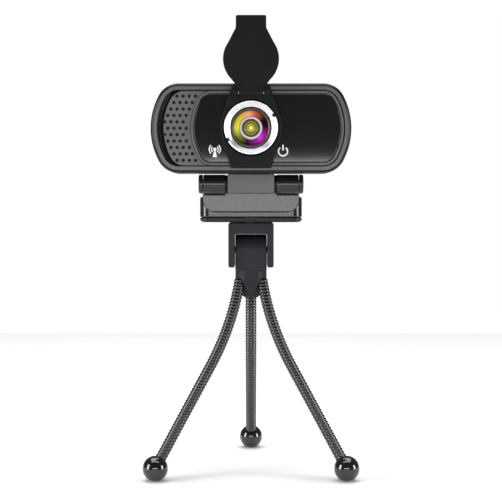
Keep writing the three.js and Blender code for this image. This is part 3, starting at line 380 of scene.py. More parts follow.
# ---------- shells: points and faces in millimetres ----------
def loft(rings, at=ORIGIN, closed=False):
    """Rings joined in order. The two ends are capped, or joined to each other when closed."""
    count = len(rings[0])
    points = [Vector(point) + at for ring in rings for point in ring]
    faces = []
    for i in range(len(rings) - 1 + closed):
        here = i * count
        there = (i + 1) % len(rings) * count
        faces += [(here + k, here + (k + 1) % count, there + (k + 1) % count, there + k)
                  for k in range(count)]
    if not closed:
        faces += [tuple(range(count)), tuple(range(len(points) - count, len(points)))]
    return points, faces


def placed(a, b, c, axis):
    """A point c along the axis and (a, b) across it."""
    return {"X": (c, a, b), "Y": (a, c, b), "Z": (a, b, c)}[axis]


def prism(outline, low, high, axis, at=ORIGIN):
    return loft([[placed(a, b, c, axis) for a, b in outline] for c in (low, high)], at)


def turned(profile, axis, at=ORIGIN, segments=72):
    """A closed profile of (radius, place) points turned about the axis."""
    rings = []
    for radius, place in profile:
        rings.append([placed(a, b, place, axis) for a, b in arc(radius, 0, math.tau, segments)[:-1]])
    return loft(rings, at, closed=True)


def round_bar(radius, low, high, axis, at=ORIGIN, edge=0.0, segments=48):
    corners = [(0, low, 0), (radius, low, edge), (radius, high, edge), (0, high, 0)]
    return turned(filleted(corners, steps=4), axis, at, segments)


def block(low, high, at=ORIGIN):
    outline = [(low[0], low[1]), (high[0], low[1]), (high[0], high[1]), (low[0], high[1])]
    return prism(outline, low[2], high[2], "Z", at)


def aimed(shell, turn):
    """The shell carried by a 4 x 4 matrix."""
    return [turn @ point for point in shell[0]], shell[1]


# ---------- pieces ----------
def piece_of(name, *shells):
    """One mesh object from closed shells, faces outwards."""
    points = []
    faces = []
    for shell_points, shell_faces in shells:
        faces += [tuple(k + len(points) for k in face) for face in shell_faces]
        points += [point * MM for point in shell_points]
    mesh = bpy.data.meshes.new(name)
    mesh.from_pydata(points, [], faces)
    work = bmesh.new()
    work.from_mesh(mesh)
    bmesh.ops.remove_doubles(work, verts=work.verts, dist=0.0005 * MM)
    bmesh.ops.recalc_face_normals(work, faces=work.faces)
    work.to_mesh(mesh)
    work.free()
    piece = bpy.data.objects.new(name, mesh)
    bpy.context.scene.collection.objects.link(piece)
    return piece


def baked(piece):
    """The piece with its modifiers made part of its mesh."""
    depsgraph = bpy.context.evaluated_depsgraph_get()
    mesh = bpy.data.meshes.new_from_object(
        piece.evaluated_get(depsgraph), preserve_all_data_layers=True, depsgraph=depsgraph)
    before = piece.data
    piece.modifiers.clear()
    piece.data = mesh
    bpy.data.meshes.remove(before)
    return piece


def combined(piece, operation, *shells, crossing=False):
    tool = piece_of("tool", *shells)
    modifier = piece.modifiers.new("combine", "BOOLEAN")
    modifier.operation = operation
    modifier.solver = "EXACT"
    modifier.use_self = crossing
    modifier.object = tool
    baked(piece)
    bpy.data.objects.remove(tool)
    return piece


def cut(piece, *shells, crossing=False):
    """The shells are cut away in one go. Shells that cross one another have to be declared as crossing."""
    return combined(piece, "DIFFERENCE", *shells, crossing=crossing)


def rounded(piece, width, segments=3, angle=40):
    """The piece with its sharp edges rounded."""
    modifier = piece.modifiers.new("edges", "BEVEL")
    modifier.width = width * MM
    modifier.segments = segments
    modifier.limit_method = "ANGLE"
    modifier.angle_limit = math.radians(angle)
    modifier.use_clamp_overlap = False
    modifier.miter_outer = "MITER_ARC"
    return baked(piece)


def joined(name, *pieces):
    """Several pieces made one by union, in the order given."""
    first = pieces[0]
    first.name = name
    for other in pieces[1:]:
        modifier = first.modifiers.new("join", "BOOLEAN")
        modifier.operation = "UNION"
        modifier.solver = "EXACT"
        modifier.object = other
    baked(first)
    for other in pieces[1:]:
        bpy.data.objects.remove(other)
    return first


def faced(piece, material, angle=38):
    """One material, smooth faces, and corners that stay crisp."""
    mesh = piece.data
    mesh.materials.clear()
    mesh.materials.append(material)
    mesh.shade_smooth()
    mesh.set_sharp_from_angle(angle=math.radians(angle))
    modifier = piece.modifiers.new("normals", "WEIGHTED_NORMAL")
    modifier.keep_sharp = True
    return baked(piece)


def finished(piece, material, body_name, slot, *nodes, angle=38):
    """The piece shaded, riding its body, in place of its CAD nodes."""
    faced(piece, material, angle)
    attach(piece, body_name)
    if nodes:
        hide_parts(*nodes)
    return piece


# ---------- geometry node trees ----------
def tree_with(name, sizes):
    """A geometry tree with one geometry in, these named sizes, and one geometry out."""
    tree = bpy.data.node_groups.new(name, "GeometryNodeTree")
    tree.interface.new_socket("Geometry", in_out="INPUT", socket_type="NodeSocketGeometry")
    for label, value in sizes.items():
        kind = "NodeSocketInt" if isinstance(value, int) else "NodeSocketFloat"
        tree.interface.new_socket(label, in_out="INPUT", socket_type=kind)
    tree.interface.new_socket("Geometry", in_out="OUTPUT", socket_type="NodeSocketGeometry")
    return tree, add(tree, "NodeGroupInput").outputs


def grown(piece, tree, sizes):
    """The piece with the tree run on it and made a plain mesh."""
    modifier = piece.modifiers.new(tree.name, "NODES")
    modifier.node_group = tree
    for item in tree.interface.items_tree:
        if item.in_out == "INPUT" and item.name in sizes:
            modifier[item.identifier] = sizes[item.name]
    return baked(piece)


coil_sizes = {"Radius": tripod.leg_radius * MM, "Pitch": tripod.wire_pitch * MM,
              "Depth": tripod.wire_depth / tripod.leg_radius, "Sides": 24}


def coil_tree():
    """A tube of wound wire along the edges it is given: each turn stands out as one round rib."""
    tree, given = tree_with("wound_wire", coil_sizes)
    line = add(tree, "GeometryNodeMeshToCurve", {"Mesh": given["Geometry"]})
    step = add(tree, "ShaderNodeMath", {0: given["Pitch"], 1: 10.0}, operation="DIVIDE")
    even = add(tree, "GeometryNodeResampleCurve", {"Curve": line, "Length": step}, mode="LENGTH")
    along = add(tree, "GeometryNodeSplineParameter").outputs["Length"]
    turns = add(tree, "ShaderNodeMath", {0: along, 1: given["Pitch"]}, operation="DIVIDE")
    phase = add(tree, "ShaderNodeMath", {0: turns, 1: math.pi}, operation="MULTIPLY")
    swing = add(tree, "ShaderNodeMath", {0: phase}, operation="SINE")
    rib = add(tree, "ShaderNodeMath", {0: swing}, operation="ABSOLUTE")
    round_rib = add(tree, "ShaderNodeMath", {0: rib, 1: 0.7}, operation="POWER")
    low = add(tree, "ShaderNodeMath", {0: 1.0, 1: given["Depth"]}, operation="SUBTRACT")
    girth = add(tree, "ShaderNodeMapRange", {"Value": round_rib, "To Min": low, "To Max": 1.0})
    ring = add(tree, "GeometryNodeCurvePrimitiveCircle", {
        "Resolution": given["Sides"], "Radius": given["Radius"]})
    tube = add(tree, "GeometryNodeCurveToMesh", {
        "Curve": even, "Profile Curve": ring, "Scale": girth, "Fill Caps": True})
    real = add(tree, "GeometryNodeRealizeInstances", {"Geometry": tube})
    painted = add(tree, "GeometryNodeSetMaterial", {"Geometry": real, "Material": coil_lacquer})
    add(tree, "NodeGroupOutput", {"Geometry": painted})
    return tree


dimple_sizes = {
    "Rows": body.rows, "Columns": body.columns, "Row pitch": body.row_pitch * MM,
    "Column pitch": body.column_pitch * MM, "Left": body.grille_left * MM,
    "Front": (LENS_AT.y + body.grille_front) * MM, "Middle": LENS_AT.z * MM,
    "Radius": body.dimple_radius * MM, "Depth": body.dimple_depth * MM}


def dimple_tree():
    """Blind round dimples sunk in a plate, row by row. Each row steps half a column outwards towards the
    middle, and the middle row steps back."""
    tree, given = tree_with("dimples", dimple_sizes)
    count = add(tree, "ShaderNodeMath", {0: given["Rows"], 1: given["Columns"]}, operation="MULTIPLY")
    index = add(tree, "GeometryNodeInputIndex")
    share = add(tree, "ShaderNodeMath", {0: index, 1: given["Columns"]}, operation="DIVIDE")
    row = add(tree, "ShaderNodeMath", {0: share}, operation="FLOOR")
    column = add(tree, "ShaderNodeMath", {0: index, 1: given["Columns"]}, operation="MODULO")
    last = add(tree, "ShaderNodeMath", {0: given["Rows"], 1: 1.0}, operation="SUBTRACT")
    middle = add(tree, "ShaderNodeMath", {0: last, 1: 2.0}, operation="DIVIDE")
    above = add(tree, "ShaderNodeMath", {0: middle, 1: row}, operation="SUBTRACT")
    away = add(tree, "ShaderNodeMath", {0: above}, operation="ABSOLUTE")
    beyond = add(tree, "ShaderNodeMath", {0: away, 1: 1.0}, operation="SUBTRACT")
    steps = add(tree, "ShaderNodeMath", {0: beyond}, operation="ABSOLUTE")
    places = add(tree, "ShaderNodeMath", {0: steps, 1: 0.5, 2: column}, operation="MULTIPLY_ADD")
    x = add(tree, "ShaderNodeMath", {0: places, 1: given["Column pitch"], 2: given["Left"]},
            operation="MULTIPLY_ADD")
    z = add(tree, "ShaderNodeMath", {0: above, 1: given["Row pitch"], 2: given["Middle"]},
            operation="MULTIPLY_ADD")
    place = add(tree, "ShaderNodeCombineXYZ", {"X": x, "Y": given["Front"], "Z": z})
    points = add(tree, "GeometryNodePoints", {"Count": count, "Position": place})
    deep = add(tree, "ShaderNodeMath", {0: given["Depth"], 1: 2.0}, operation="MULTIPLY")
    drill = add(tree, "GeometryNodeMeshCylinder", {
        "Vertices": 20, "Radius": given["Radius"], "Depth": deep})
    drills = add(tree, "GeometryNodeInstanceOnPoints", {
        "Points": points, "Instance": drill.outputs["Mesh"], "Rotation": (QUARTER, 0, 0)})
    tools = add(tree, "GeometryNodeRealizeInstances", {"Geometry": drills})
    sunk = add(tree, "GeometryNodeMeshBoolean", {"Mesh 1": given["Geometry"], "Mesh 2": tools},
               operation="DIFFERENCE", solver="EXACT")
    real = add(tree, "GeometryNodeRealizeInstances", {"Geometry": sunk})
    painted = add(tree, "GeometryNodeSetMaterial", {"Geometry": real, "Material": grey_abs})
    add(tree, "NodeGroupOutput", {"Geometry": painted})
    return tree


# ---------- tripod ----------
def leg_points(out, root):
    """The centre line of a leg: a bend that opens away from the hub, then a straight run to the ball."""
    start = math.radians(tripod.start_angle)
    end = math.radians(tripod.end_angle)
    line = []
    for angle in [start + (end - start) * k / 48 for k in range(49)]:
        run = tripod.bend_radius * (math.cos(start) - math.cos(angle))
        drop = tripod.bend_radius * (math.sin(angle) - math.sin(start))
        line.append(root + out * run - Vector((0, 0, drop)))
    line.append(line[-1] + (out * math.sin(end) - Vector((0, 0, math.cos(end)))) * tripod.straight)
    return line


def make_leg(joint, node, tree):
    """One gooseneck leg: its first stretch curves away from the hub, as wound wire does, then runs straight
    to the ball.
    """
    root = joint_at[joint]
    out = Vector((root.x, root.y - AXIS_Y, 0)).normalized()
    line = leg_points(out, root)
    mesh = bpy.data.meshes.new("gooseneck_" + node)
    mesh.from_pydata([point * MM for point in line], [(k, k + 1) for k in range(len(line) - 1)], [])
    leg = bpy.data.objects.new("gooseneck_" + node, mesh)
    bpy.context.scene.collection.objects.link(leg)
    grown(leg, tree, coil_sizes)
    leg.data.shade_smooth()
    leg.data.set_sharp_from_angle(angle=math.radians(80))
    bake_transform(leg)
    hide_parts("leg_" + node)
    return out


def make_foot(joint, node, out):
    """A polished ball with a small flat to stand on, bored for the end of its leg."""
    low, high = lowest("foot_" + node), highest("foot_" + node)
    radius = tripod.ball_radius
    centre = Vector(((low.x + high.x) / 2, (low.y + high.y) / 2, high.z - radius))
    first = math.asin(tripod.flat_radius / radius)
    sphere = arc(radius, first - QUARTER, QUARTER, 40)
    profile = [(0, sphere[0].y)] + [(max(point.x, 0), point.y) for point in sphere]
    ball = piece_of("ball_" + node, turned(profile, "Z", centre, 64))
    lean = out * math.sin(math.radians(tripod.end_angle)) - Vector((0, 0, math.cos(math.radians(
        tripod.end_angle))))
    turn = Matrix.Translation(centre) @ (-lean).to_track_quat("Z", "Y").to_matrix().to_4x4()
    depth = -(4.5 - radius + 1) - GAP
    bore = round_bar(tripod.leg_radius + 0.15, depth, depth + tripod.socket_length + 2, "Z")
    cut(ball, aimed(bore, turn))
    finished(ball, ball_phenolic, bodies_of[joint], "ball_plastic", "foot_" + node, angle=50)


def make_hub():
    """The hub that grips the three legs, with the tongue of the tilt joint standing on it."""
    tip = ROOT_Z - tripod.below_roots
    shoulder = ROOT_Z + tripod.above_roots
    at = Vector((0, AXIS_Y, 0))
    cone = turned(filleted([
        (0, tip, 0), (tripod.tip_radius, tip, 1.8), (tripod.hub_radius, ROOT_Z - 0.5, 6),
        (tripod.hub_radius, shoulder, 0.8), (0, shoulder, 0)]), "Z", at, 96)
    half = tripod.tongue_radius
    side = [(half, shoulder - 1)] + arc(half, 0, math.pi, 28, (0, PIN_AT.z)) + [(-half, shoulder - 1)]
    tongue = rounded(piece_of("tongue", prism(side, -tripod.hub_radius, tripod.hub_radius, "X", at)), 0.6)
    hub = joined("tripod_hub", piece_of("cone", cone), tongue)
    mouth = tripod.leg_radius + GAP
    reach = tripod.below_roots + 3
    tools = [round_bar(tripod.pin_radius + GAP, -12, 12, "X", PIN_AT)]
    for joint in ("leg_back_bend", "leg_left_bend", "leg_right_bend"):
        root = joint_at[joint]
        out = Vector((root.x, root.y - AXIS_Y, 0)).normalized()
        lean = out * math.sin(math.radians(0.5)) - Vector((0, 0, 1))
        turn = Matrix.Translation(root) @ lean.to_track_quat("Z", "Y").to_matrix().to_4x4()
        flare = turned([(0, -0.4), (mouth, -0.4), (mouth, 0), (mouth + 2.3, reach), (0, reach)], "Z",
                       segments=48)
        tools.append(aimed(flare, turn))
    cut(hub, *tools)
    finished(hub, head_nylon, "hub", "head_plastic", "leg_hub")


def make_tilt_pin():
    half = tripod.head_half
    pin = piece_of("slotted_tilt_pin", round_bar(tripod.pin_radius, -half, half, "X", PIN_AT, edge=0.3))
    cut(pin, block((half - 0.5, -2, -0.25), (half + 1, 2, 0.25), PIN_AT))
    finished(pin, pin_steel, "hub", "steel", "tilt_pin")


def make_head():
    """The clevis over the tongue: two cheeks and a bridge that carries the stud."""
    outer = tripod.head_half
    inner = outer - tripod.cheek
    low = PIN_AT.z - tripod.cheek_drop
    roof = HEAD_TOP - tripod.bridge
    outline = filleted([
        (outer, low, 0.9), (outer, HEAD_TOP, 1.0), (-outer, HEAD_TOP, 1.0), (-outer, low, 0.9),
        (-inner, low, 0.6), (-inner, roof, 1.2), (inner, roof, 1.2), (inner, low, 0.6)])
    half = tripod.head_depth / 2
    clevis = rounded(piece_of("tripod_head", prism(outline, -half, half, "Y", Vector((0, AXIS_Y, 0)))), 0.55)
    cut(clevis, round_bar(tripod.pin_radius + GAP, -13, 13, "X", PIN_AT),
        round_bar(tripod.stud_radius + GAP, roof - 1, HEAD_TOP + 1, "Z", Vector((0, AXIS_Y, 0))))
    finished(clevis, head_nylon, "head", "head_plastic", "head_clevis")


# ---------- clip ----------
def make_base():
    """The base: a shallow box, open below, with the rear hinge's ears standing behind it."""
    floor = clip.cover_height + GAP
    half = (clip.width / 2, clip.depth / 2)
    shell = rounded(piece_of("clip_base", prism(rectangle(*half, clip.corner), floor, clip.height, "Z",
                                                CLIP_AT)), 0.7)
    inside = half[1] - clip.wall / 2
    radius = clip.hinge_radius
    side = [(inside, HINGE.z + radius - 1.6)] + arc(radius, QUARTER, -QUARTER, 24, (HINGE.y, HINGE.z)) + [
        (inside, HINGE.z - radius - 2)]
    outer = half[0] - clip.cap - GAP
    centre = clip.centre_knuckle / 2
    ears = [piece_of("ear", prism(side, low, high, "X", CLIP_AT)) for low, high in (
        (-outer, clip.ear - outer), (-centre, centre), (outer - clip.ear, outer))]
    base = joined("clip_base_shell", shell, *[rounded(ear, 0.3, angle=60) for ear in ears])
    ceiling = clip.height - clip.pad_thickness - GAP - clip.wall
    recess = rectangle(*half, clip.corner, clip.pad_margin - GAP)
    hollow = rectangle(half[0] - clip.wall, half[1] - clip.wall, clip.corner - clip.wall)
    cut(base, prism(recess, clip.height - clip.pad_thickness - GAP, clip.height + 1, "Z", CLIP_AT),
        prism(hollow, floor - 1, ceiling, "Z", CLIP_AT),
        round_bar(clip.hinge_pin + GAP, -30, 30, "X", CLIP_AT + HINGE))
    boss = clip.insert_radius + GAP + 1.6
    inner = piece_of("boss", round_bar(boss, floor, ceiling + 0.5, "Z", CLIP_AT))
    cut(inner, round_bar(clip.insert_radius + GAP, floor - 1, clip.insert_top + GAP, "Z", CLIP_AT))
    base = joined("clip_base_shell", base, inner)
    finished(base, clip_abs, "base", "clip_plastic", "base_shell")


def make_base_cover():
    """The black cover under the base, chamfered all round, bored for the stud and countersunk for screws."""
    rings = []
    for by, height in ((clip.chamfer + 0.15, 0), (clip.chamfer - 0.1, 0.1), (0.08, clip.chamfer - 0.1),
                       (0, clip.chamfer + 0.1), (0, clip.cover_height)):
        outline = rectangle(clip.width / 2, clip.depth / 2, clip.corner, by)
        rings.append([(a, b, height) for a, b in outline])
    piece = piece_of("base_cover", loft(rings, CLIP_AT))
    tools = [round_bar(clip.insert_radius + GAP, -1, 3, "Z", CLIP_AT)]
    screw_x = clip.width / 2 - clip.screw_inset
    for x in (-screw_x, screw_x):
        at = CLIP_AT + Vector((x, 0, 0))
        tools.append(turned([(0, -1), (2.3, -1), (2.3, 1.1), (1.3, 1.1), (1.3, 3), (0, 3)], "Z", at, 40))
    cut(piece, *tools)
    finished(piece, cover_abs, "base", "inner_plastic", "base_bottom")
    for side, x in (("left", -screw_x), ("right", screw_x)):
        at = CLIP_AT + Vector((x, 0, 0.1))
        screw = piece_of("pan_screw_" + side, turned(filleted([
            (0, 0, 0), (2, 0, 0.5), (2, 0.8, 0), (1, 0.8, 0), (1, 6, 0.3), (0, 6, 0)]), "Z", at, 40))
        cut(screw, block((-1.2, -0.2, -1), (1.2, 0.2, 0.45), at),
            block((-0.2, -1.2, -1), (0.2, 1.2, 0.45), at), crossing=True)
        finished(screw, pin_steel, "base", "steel", "base_screw_" + side)


def make_pads():
    """Plain silicone pads on the base and under the arm, each with its edge rounded over."""
    outline = rectangle(clip.width / 2, clip.depth / 2, clip.corner, clip.pad_margin)
    shell = prism(outline, clip.height - clip.pad_thickness, clip.height, "Z", CLIP_AT)
    pad = rounded(piece_of("base_grip_pad", shell), 0.3)
    finished(pad, pad_silicone, "base", "pad_rubber", "base_pad")
    low, high = lowest("arm_pad"), highest("arm_pad")
    middle = (low + high) / 2
    half = (high - low) / 2
    at = Vector((middle.x, middle.y, 0))
    pad = rounded(piece_of("arm_grip_pad", prism(rectangle(half.x, half.y, clip.pad_corner), low.z, high.z,
                                                 "Z", at)), 0.25)
    finished(pad, pad_silicone, "arm", "pad_rubber", "arm_pad")


def make_arm():
    """The arm that folds over the base: a flat plate with a lip hanging in front and, beyond the lip, two
    barrels of the camera hinge."""
    lip_back = -clip.depth / 2 - clip.lip_gap
    lip_front = lip_back - clip.lip_thickness
    top = clip.arm_top
    under = top - clip.arm_thickness
    heel = HINGE.z + clip.heel
    side = filleted([
        (HINGE.y - 0.9, heel + 0.1, 0.3), (HINGE.y - 5, top, 2.2), (lip_front, top, clip.arm_corner),
        (lip_front, clip.lip_bottom, 0.6), (lip_back, clip.lip_bottom, 0.6), (lip_back, under, 0.5),
        (HINGE.y - 6.6, under, 0.8), (HINGE.y - 5.4, heel, 0.3)])
    half = clip.arm_width / 2
    plate = piece_of("plate", prism(side, -half, half, "X", CLIP_AT))
    corners = []
    for sign in (-1, 1):
        centre = (sign * (half - clip.lip_corner), clip.lip_bottom + clip.lip_corner)
        edge = sign * (half + 1)
        start = -QUARTER
        sweep = arc(clip.lip_corner, start, start + sign * QUARTER, 16, centre)
        outline = [(edge, clip.lip_bottom - 1), (centre[0], clip.lip_bottom - 1)] + sweep + [
            (edge, centre[1])]
        corners.append(prism(outline, lip_front - 1, lip_back + 0.2, "Y", CLIP_AT))
    cut(plate, *corners)
    rounded(plate, 0.45, angle=50)
    radius = clip.hinge_radius
    stem = [(HINGE.y - 3.6, heel + 0.4), (HINGE.y - radius, HINGE.z)] + arc(
        radius, math.pi, math.tau, 24, (HINGE.y, HINGE.z))[1:] + [
        (HINGE.y + radius * 0.8, HINGE.z + clip.heel * 0.5), (HINGE.y - 0.9, heel + 0.5)]
    reach = clip.barrel_radius
    strut = [(lip_front + 1.2, top - 0.6), (BARREL.y + 1, BARREL.z + reach * 0.55)] + arc(
        reach, 0.3 * math.pi, 1.62 * math.pi, 40, (BARREL.y, BARREL.z)) + [(lip_front + 1.2, top - 7.5)]
    stem_start = clip.centre_knuckle / 2 + GAP
    start = clip.lug_width / 2 + clip.washer + 2 * GAP
    end = clip.width / 2 - clip.barrel_cap - GAP
    pieces = []
    for sign in (-1, 1):
        for outline, low, high in ((stem, stem_start, stem_start + clip.arm_knuckle), (strut, start, end)):
            ends = sorted((sign * low, sign * high))
            pieces.append(rounded(piece_of("arm_part", prism(outline, *ends, "X", CLIP_AT)), 0.3, angle=60))
    arm = joined("clip_arm_plate", plate, *pieces)
    cut(arm, round_bar(clip.hinge_pin + GAP, -30, 30, "X", CLIP_AT + HINGE),
        round_bar(clip.barrel_pin + GAP, -30, 30, "X", CLIP_AT + BARREL))
    finished(arm, clip_abs, "arm", "clip_plastic", "clip_arm")


def make_hinge_caps():
    """Round caps over the ends of both hinge pins, flat with a fine ring, and the friction washers."""
    ends = (
        ("arm_hinge_cap", "base", HINGE, clip.hinge_radius, clip.width / 2 - clip.cap, clip.width / 2, 0.35),
        ("camera_hinge_cap", "arm", BARREL, clip.barrel_radius, clip.width / 2 - clip.barrel_cap,
         clip.width / 2, 0.6))
    for node, body_name, at, radius, low, high, edge in ends:
        for side, sign in (("left", -1), ("right", 1)):
            profile = filleted([
                (0, low, 0), (radius, low, 0.1), (radius, high, edge), (radius * 0.84, high, 0.04),
                (radius * 0.81, high - 0.12, 0.04), (radius * 0.78, high - 0.12, 0.04),
                (radius * 0.75, high, 0.04), (0, high, 0)])
            profile = [(point[0], sign * point[1]) for point in profile]
            cap = piece_of(node.replace("cap", "button_") + side, turned(profile, "X", CLIP_AT + at, 64))
            finished(cap, clip_abs, body_name, "clip_plastic", node + "_" + side)
    inner = clip.barrel_pin + GAP
    outer = clip.barrel_radius - 0.2
    low = clip.lug_width / 2 + 0.05
    high = low + clip.washer + 2 * GAP - 0.1
    for side, sign in (("left", -1), ("right", 1)):
        profile = filleted([(inner, low, 0.1), (outer, low, 0.1), (outer, high, 0.1), (inner, high, 0.1)])
        profile = [(point[0], sign * point[1]) for point in profile]
        washer = piece_of("spring_washer_" + side, turned(profile, "X", CLIP_AT + BARREL, 48))
        finished(washer, washer_steel, "arm", "steel", "friction_washer_" + side)


def make_lug():
    """The lug under the camera that turns between the arm's barrels."""
    radius = clip.barrel_radius
    roof = BARREL.z + clip.lug_height
    side = [(BARREL.y + radius, roof), (BARREL.y - radius, roof)] + arc(
        radius, math.pi, math.tau, 40, (BARREL.y, BARREL.z))
    half = clip.lug_width / 2
    lug = rounded(piece_of("camera_lug", prism(side, -half, half, "X", CLIP_AT)), 0.4, angle=60)
    tenon = piece_of("tenon", block((-clip.lug_tenon, BARREL.y + 0.2, roof - 1),
                                    (clip.lug_tenon, BARREL.y + radius - 0.2, roof + 4.5), CLIP_AT))
    joined("camera_lug", lug, tenon)
    cut(lug, round_bar(clip.barrel_pin + GAP, -15, 15, "X", CLIP_AT + BARREL))
    finished(lug, grey_abs, "camera", "grey_plastic", "hinge_lug")


# ---------- camera ----------
def ring_of(bar, y):
    return [(a, y, b) for a, b in bowed(*bar)]


def hole(radius, front, back, x=0.0, z=0.0, segments=32):
    return round_bar(radius, front, back, "Y", LENS_AT + Vector((x, 0, z)), segments=segments)


def dome_rings(bar, front, back, crown, depth, drawn):
    """From the open front edge back over the rounded shoulder to the middle of the crowned back."""
    shoulder = back - crown
    rings = [
        ring_of(bar, front), ring_of(bar, (front + shoulder - depth) / 2), ring_of(bar, shoulder - depth)]
    for k in range(1, 15):
        angle = QUARTER * k / 14
        reached = shoulder - depth * (1 - math.sin(angle))
        rings.append(ring_of(inset(bar, drawn * (1 - math.cos(angle))), reached))
    last = rings[-1]
    for share in (0.9, 0.75, 0.6, 0.45, 0.3, 0.15, 0.05):
        rings.append([(x * share, shoulder + crown * (1 - share ** 2), z * share) for x, _, z in last])
    return rings


CASE_PLACES = [(x, z) for x in (-body.case_x, body.case_x) for z in (-body.case_z, body.case_z)]
PIPE_PLACES = [body.signal_x, body.power_x]


def make_rear_shell():
    """The rear half of the case: a deep tray with a domed back, open to the front."""
    front = body.seam + GAP
    outside = dome_rings(body_bar, front, body.depth, body.crown, body.dome_depth, body.dome_inset)
    inside = dome_rings(inset(body_bar, body.wall), front, body.depth - body.wall, body.crown,
                        body.dome_depth - 1, body.dome_inset - 0.8)
    shell = piece_of("rear_case", loft(inside[::-1] + outside, LENS_AT))
    back = body.depth - body.wall - body.crown + 0.4
    posts = [hole(body.post_radius, front + 0.3, back, x, z) for x, z in CASE_PLACES]
    posts += [hole(body.post_radius - 0.4, body.board_back + GAP, back, x, body.board_z)
              for x in (-body.board_x, body.board_x)]
    shell = joined("rear_case", shell, piece_of("posts", *posts))
    lug_y = BARREL.y + CLIP_AT.y - LENS_AT.y
    slot_half = clip.lug_tenon + GAP
    bottom = body_bar[2] / 2
    cut(shell, *[hole(1.3, 0, 20, x, z) for x, z in CASE_PLACES],
        *[hole(1.3, 0, 24, x, body.board_z) for x in (-body.board_x, body.board_x)],
        hole(body.gland_radius + GAP, 20, body.depth + 1, 0, body.gland_z, 48),
        block((-slot_half, lug_y + 0.2 - GAP, -bottom - 1),
              (slot_half, lug_y + clip.barrel_radius - 0.2 + GAP, -bottom + body.wall + 1), LENS_AT))
    finished(shell, shell_abs, "camera", "shell_plastic", "rear_shell", angle=32)


def make_bezel():
    """The front half of the case: a rounded rim, a flat along it painted a lighter grey as a painted
    highlight, and a cove down to the floor that the grille and the panel lie on."""
    setback = body.rim_setback
    rings = [ring_of(opening_bar, body.floor_front), ring_of(opening_bar, body.floor_front - 0.7)]
    rings += [ring_of(inset(body_bar, body.rim), setback + 0.45)]
    rings += [ring_of(inset(body_bar, body.rim - 0.08), setback + 0.2)]
    rings += [ring_of(inset(body_bar, body.rim - 0.3), setback)]
    for k in range(0, 11):
        angle = QUARTER * k / 10
        rings.append(ring_of(inset(body_bar, body.rim_round * (1 - math.sin(angle))),
                             setback + body.rim_round * (1 - math.cos(angle))))
    rings += [ring_of(body_bar, body.seam - 0.25), ring_of(inset(body_bar, 0.12), body.seam)]
    inside_bar = inset(body_bar, body.wall)
    rings += [ring_of(inside_bar, body.seam), ring_of(inside_bar, body.floor_back)]
    bezel = piece_of("front_case", loft(rings, LENS_AT))
    port_x, port_z = port_place()
    cut(bezel, hole(lens.bore, 0, 8, segments=96),
        *[hole(body.pipe_radius + GAP, 0, 8, x, body.mark_z) for x in PIPE_PLACES],
        *[hole(2.3, body.floor_front - 1, body.floor_front + 1, x, z) for x, z in CASE_PLACES],
        *[hole(1.3, 0, 8, x, z) for x, z in CASE_PLACES],
        hole(1, 0, 8, port_x, port_z), crossing=True)
    finished(bezel, rim_abs, "camera", "rim_plastic", "front_bezel", angle=32)
    # The front-facing faces of the flat take the lighter grey: a painted highlight.
    bezel.data.materials.append(rim_flat_painted_highlight)
    for face in bezel.data.polygons:
        if face.normal.y < -0.97 and face.center.y / MM < LENS_AT.y + setback + 0.5:
            face.material_index = 1


def port_place():
    """The microphone's port, which is one of the grille's dimples carried right through."""
    middle = (body.rows - 1) / 2
    step = abs(abs(body.port_row - middle) - 1)
    return (body.grille_left + (step / 2 + body.port_column) * body.column_pitch,
            (middle - body.port_row) * body.row_pitch)


def make_grille():
    """The grey crescent beside the panel, dimpled, with one dimple open to the microphone. Everything behind
    its front, the dimples' insides among it, is painted black as painted shade.
    """
    flat = bowed(*inset(opening_bar, GAP))
    tray = bowed(*inset(surround_bar, -GAP))
    front = body.grille_front
    grille = piece_of("dimpled_grille", prism(flat, front, body.tray_back, "Y", LENS_AT))
    right = body.panel_left + 7
    cut(grille, prism(tray, front - 1, body.tray_back + 1, "Y", LENS_AT))
    cut(grille, block((right, -5, -30), (60, 10, 30), LENS_AT))
    grown(grille, dimple_tree(), dimple_sizes)
    port_x, port_z = port_place()
    cut(grille, hole(body.dimple_radius, front - 1, body.tray_back + 1, port_x, port_z))
    finished(grille, grey_abs, "camera", "grey_plastic", "mic_grille", angle=30)
    # Every face behind the grille's front, the dimples' walls and floors among them, is painted matt black:
    # painted shade.
    grille.data.materials.append(inner_abs_and_painted_shade)
    for face in grille.data.polygons:
        if face.center.y / MM > LENS_AT.y + front + 0.05:
            face.material_index = 1


def make_panel():
    """The smoked window and the fine grey line that frames it."""
    edge = 0.22
    floor = body.tray_front
    rings = [ring_of(pocket_bar, floor), ring_of(pocket_bar, body.proud + edge)]
    rings += [ring_of(inset(pocket_bar, -0.07), body.proud + 0.07),
              ring_of(inset(pocket_bar, -edge), body.proud)]
    rings += [ring_of(inset(surround_bar, edge), body.proud),
              ring_of(inset(surround_bar, 0.07), body.proud + 0.07)]
    rings += [ring_of(surround_bar, body.proud + edge), ring_of(surround_bar, body.tray_back)]
    surround = piece_of("panel_frame", loft(rings, LENS_AT))
    cut(surround, hole(lens.bore, -1, 8, segments=96),
        *[hole(body.pipe_radius + GAP, 0, 8, x, body.mark_z) for x in PIPE_PLACES])
    finished(surround, grey_abs, "camera", "grey_plastic", "panel_surround", angle=32)
    rings = []
    for k in range(5):
        angle = QUARTER * k / 4
        rings.append(ring_of(inset(panel_bar, body.panel_edge * (1 - math.sin(angle))),
                             body.panel_edge * (1 - math.cos(angle))))
    rings.append(ring_of(panel_bar, body.panel_thickness))
    window = piece_of("smoked_window", loft(rings, LENS_AT))
    cut(window, hole(lens.bore, -1, 8, segments=96))
    finished(window, panel_acrylic, "camera", "panel_acrylic", "front_panel", angle=32)


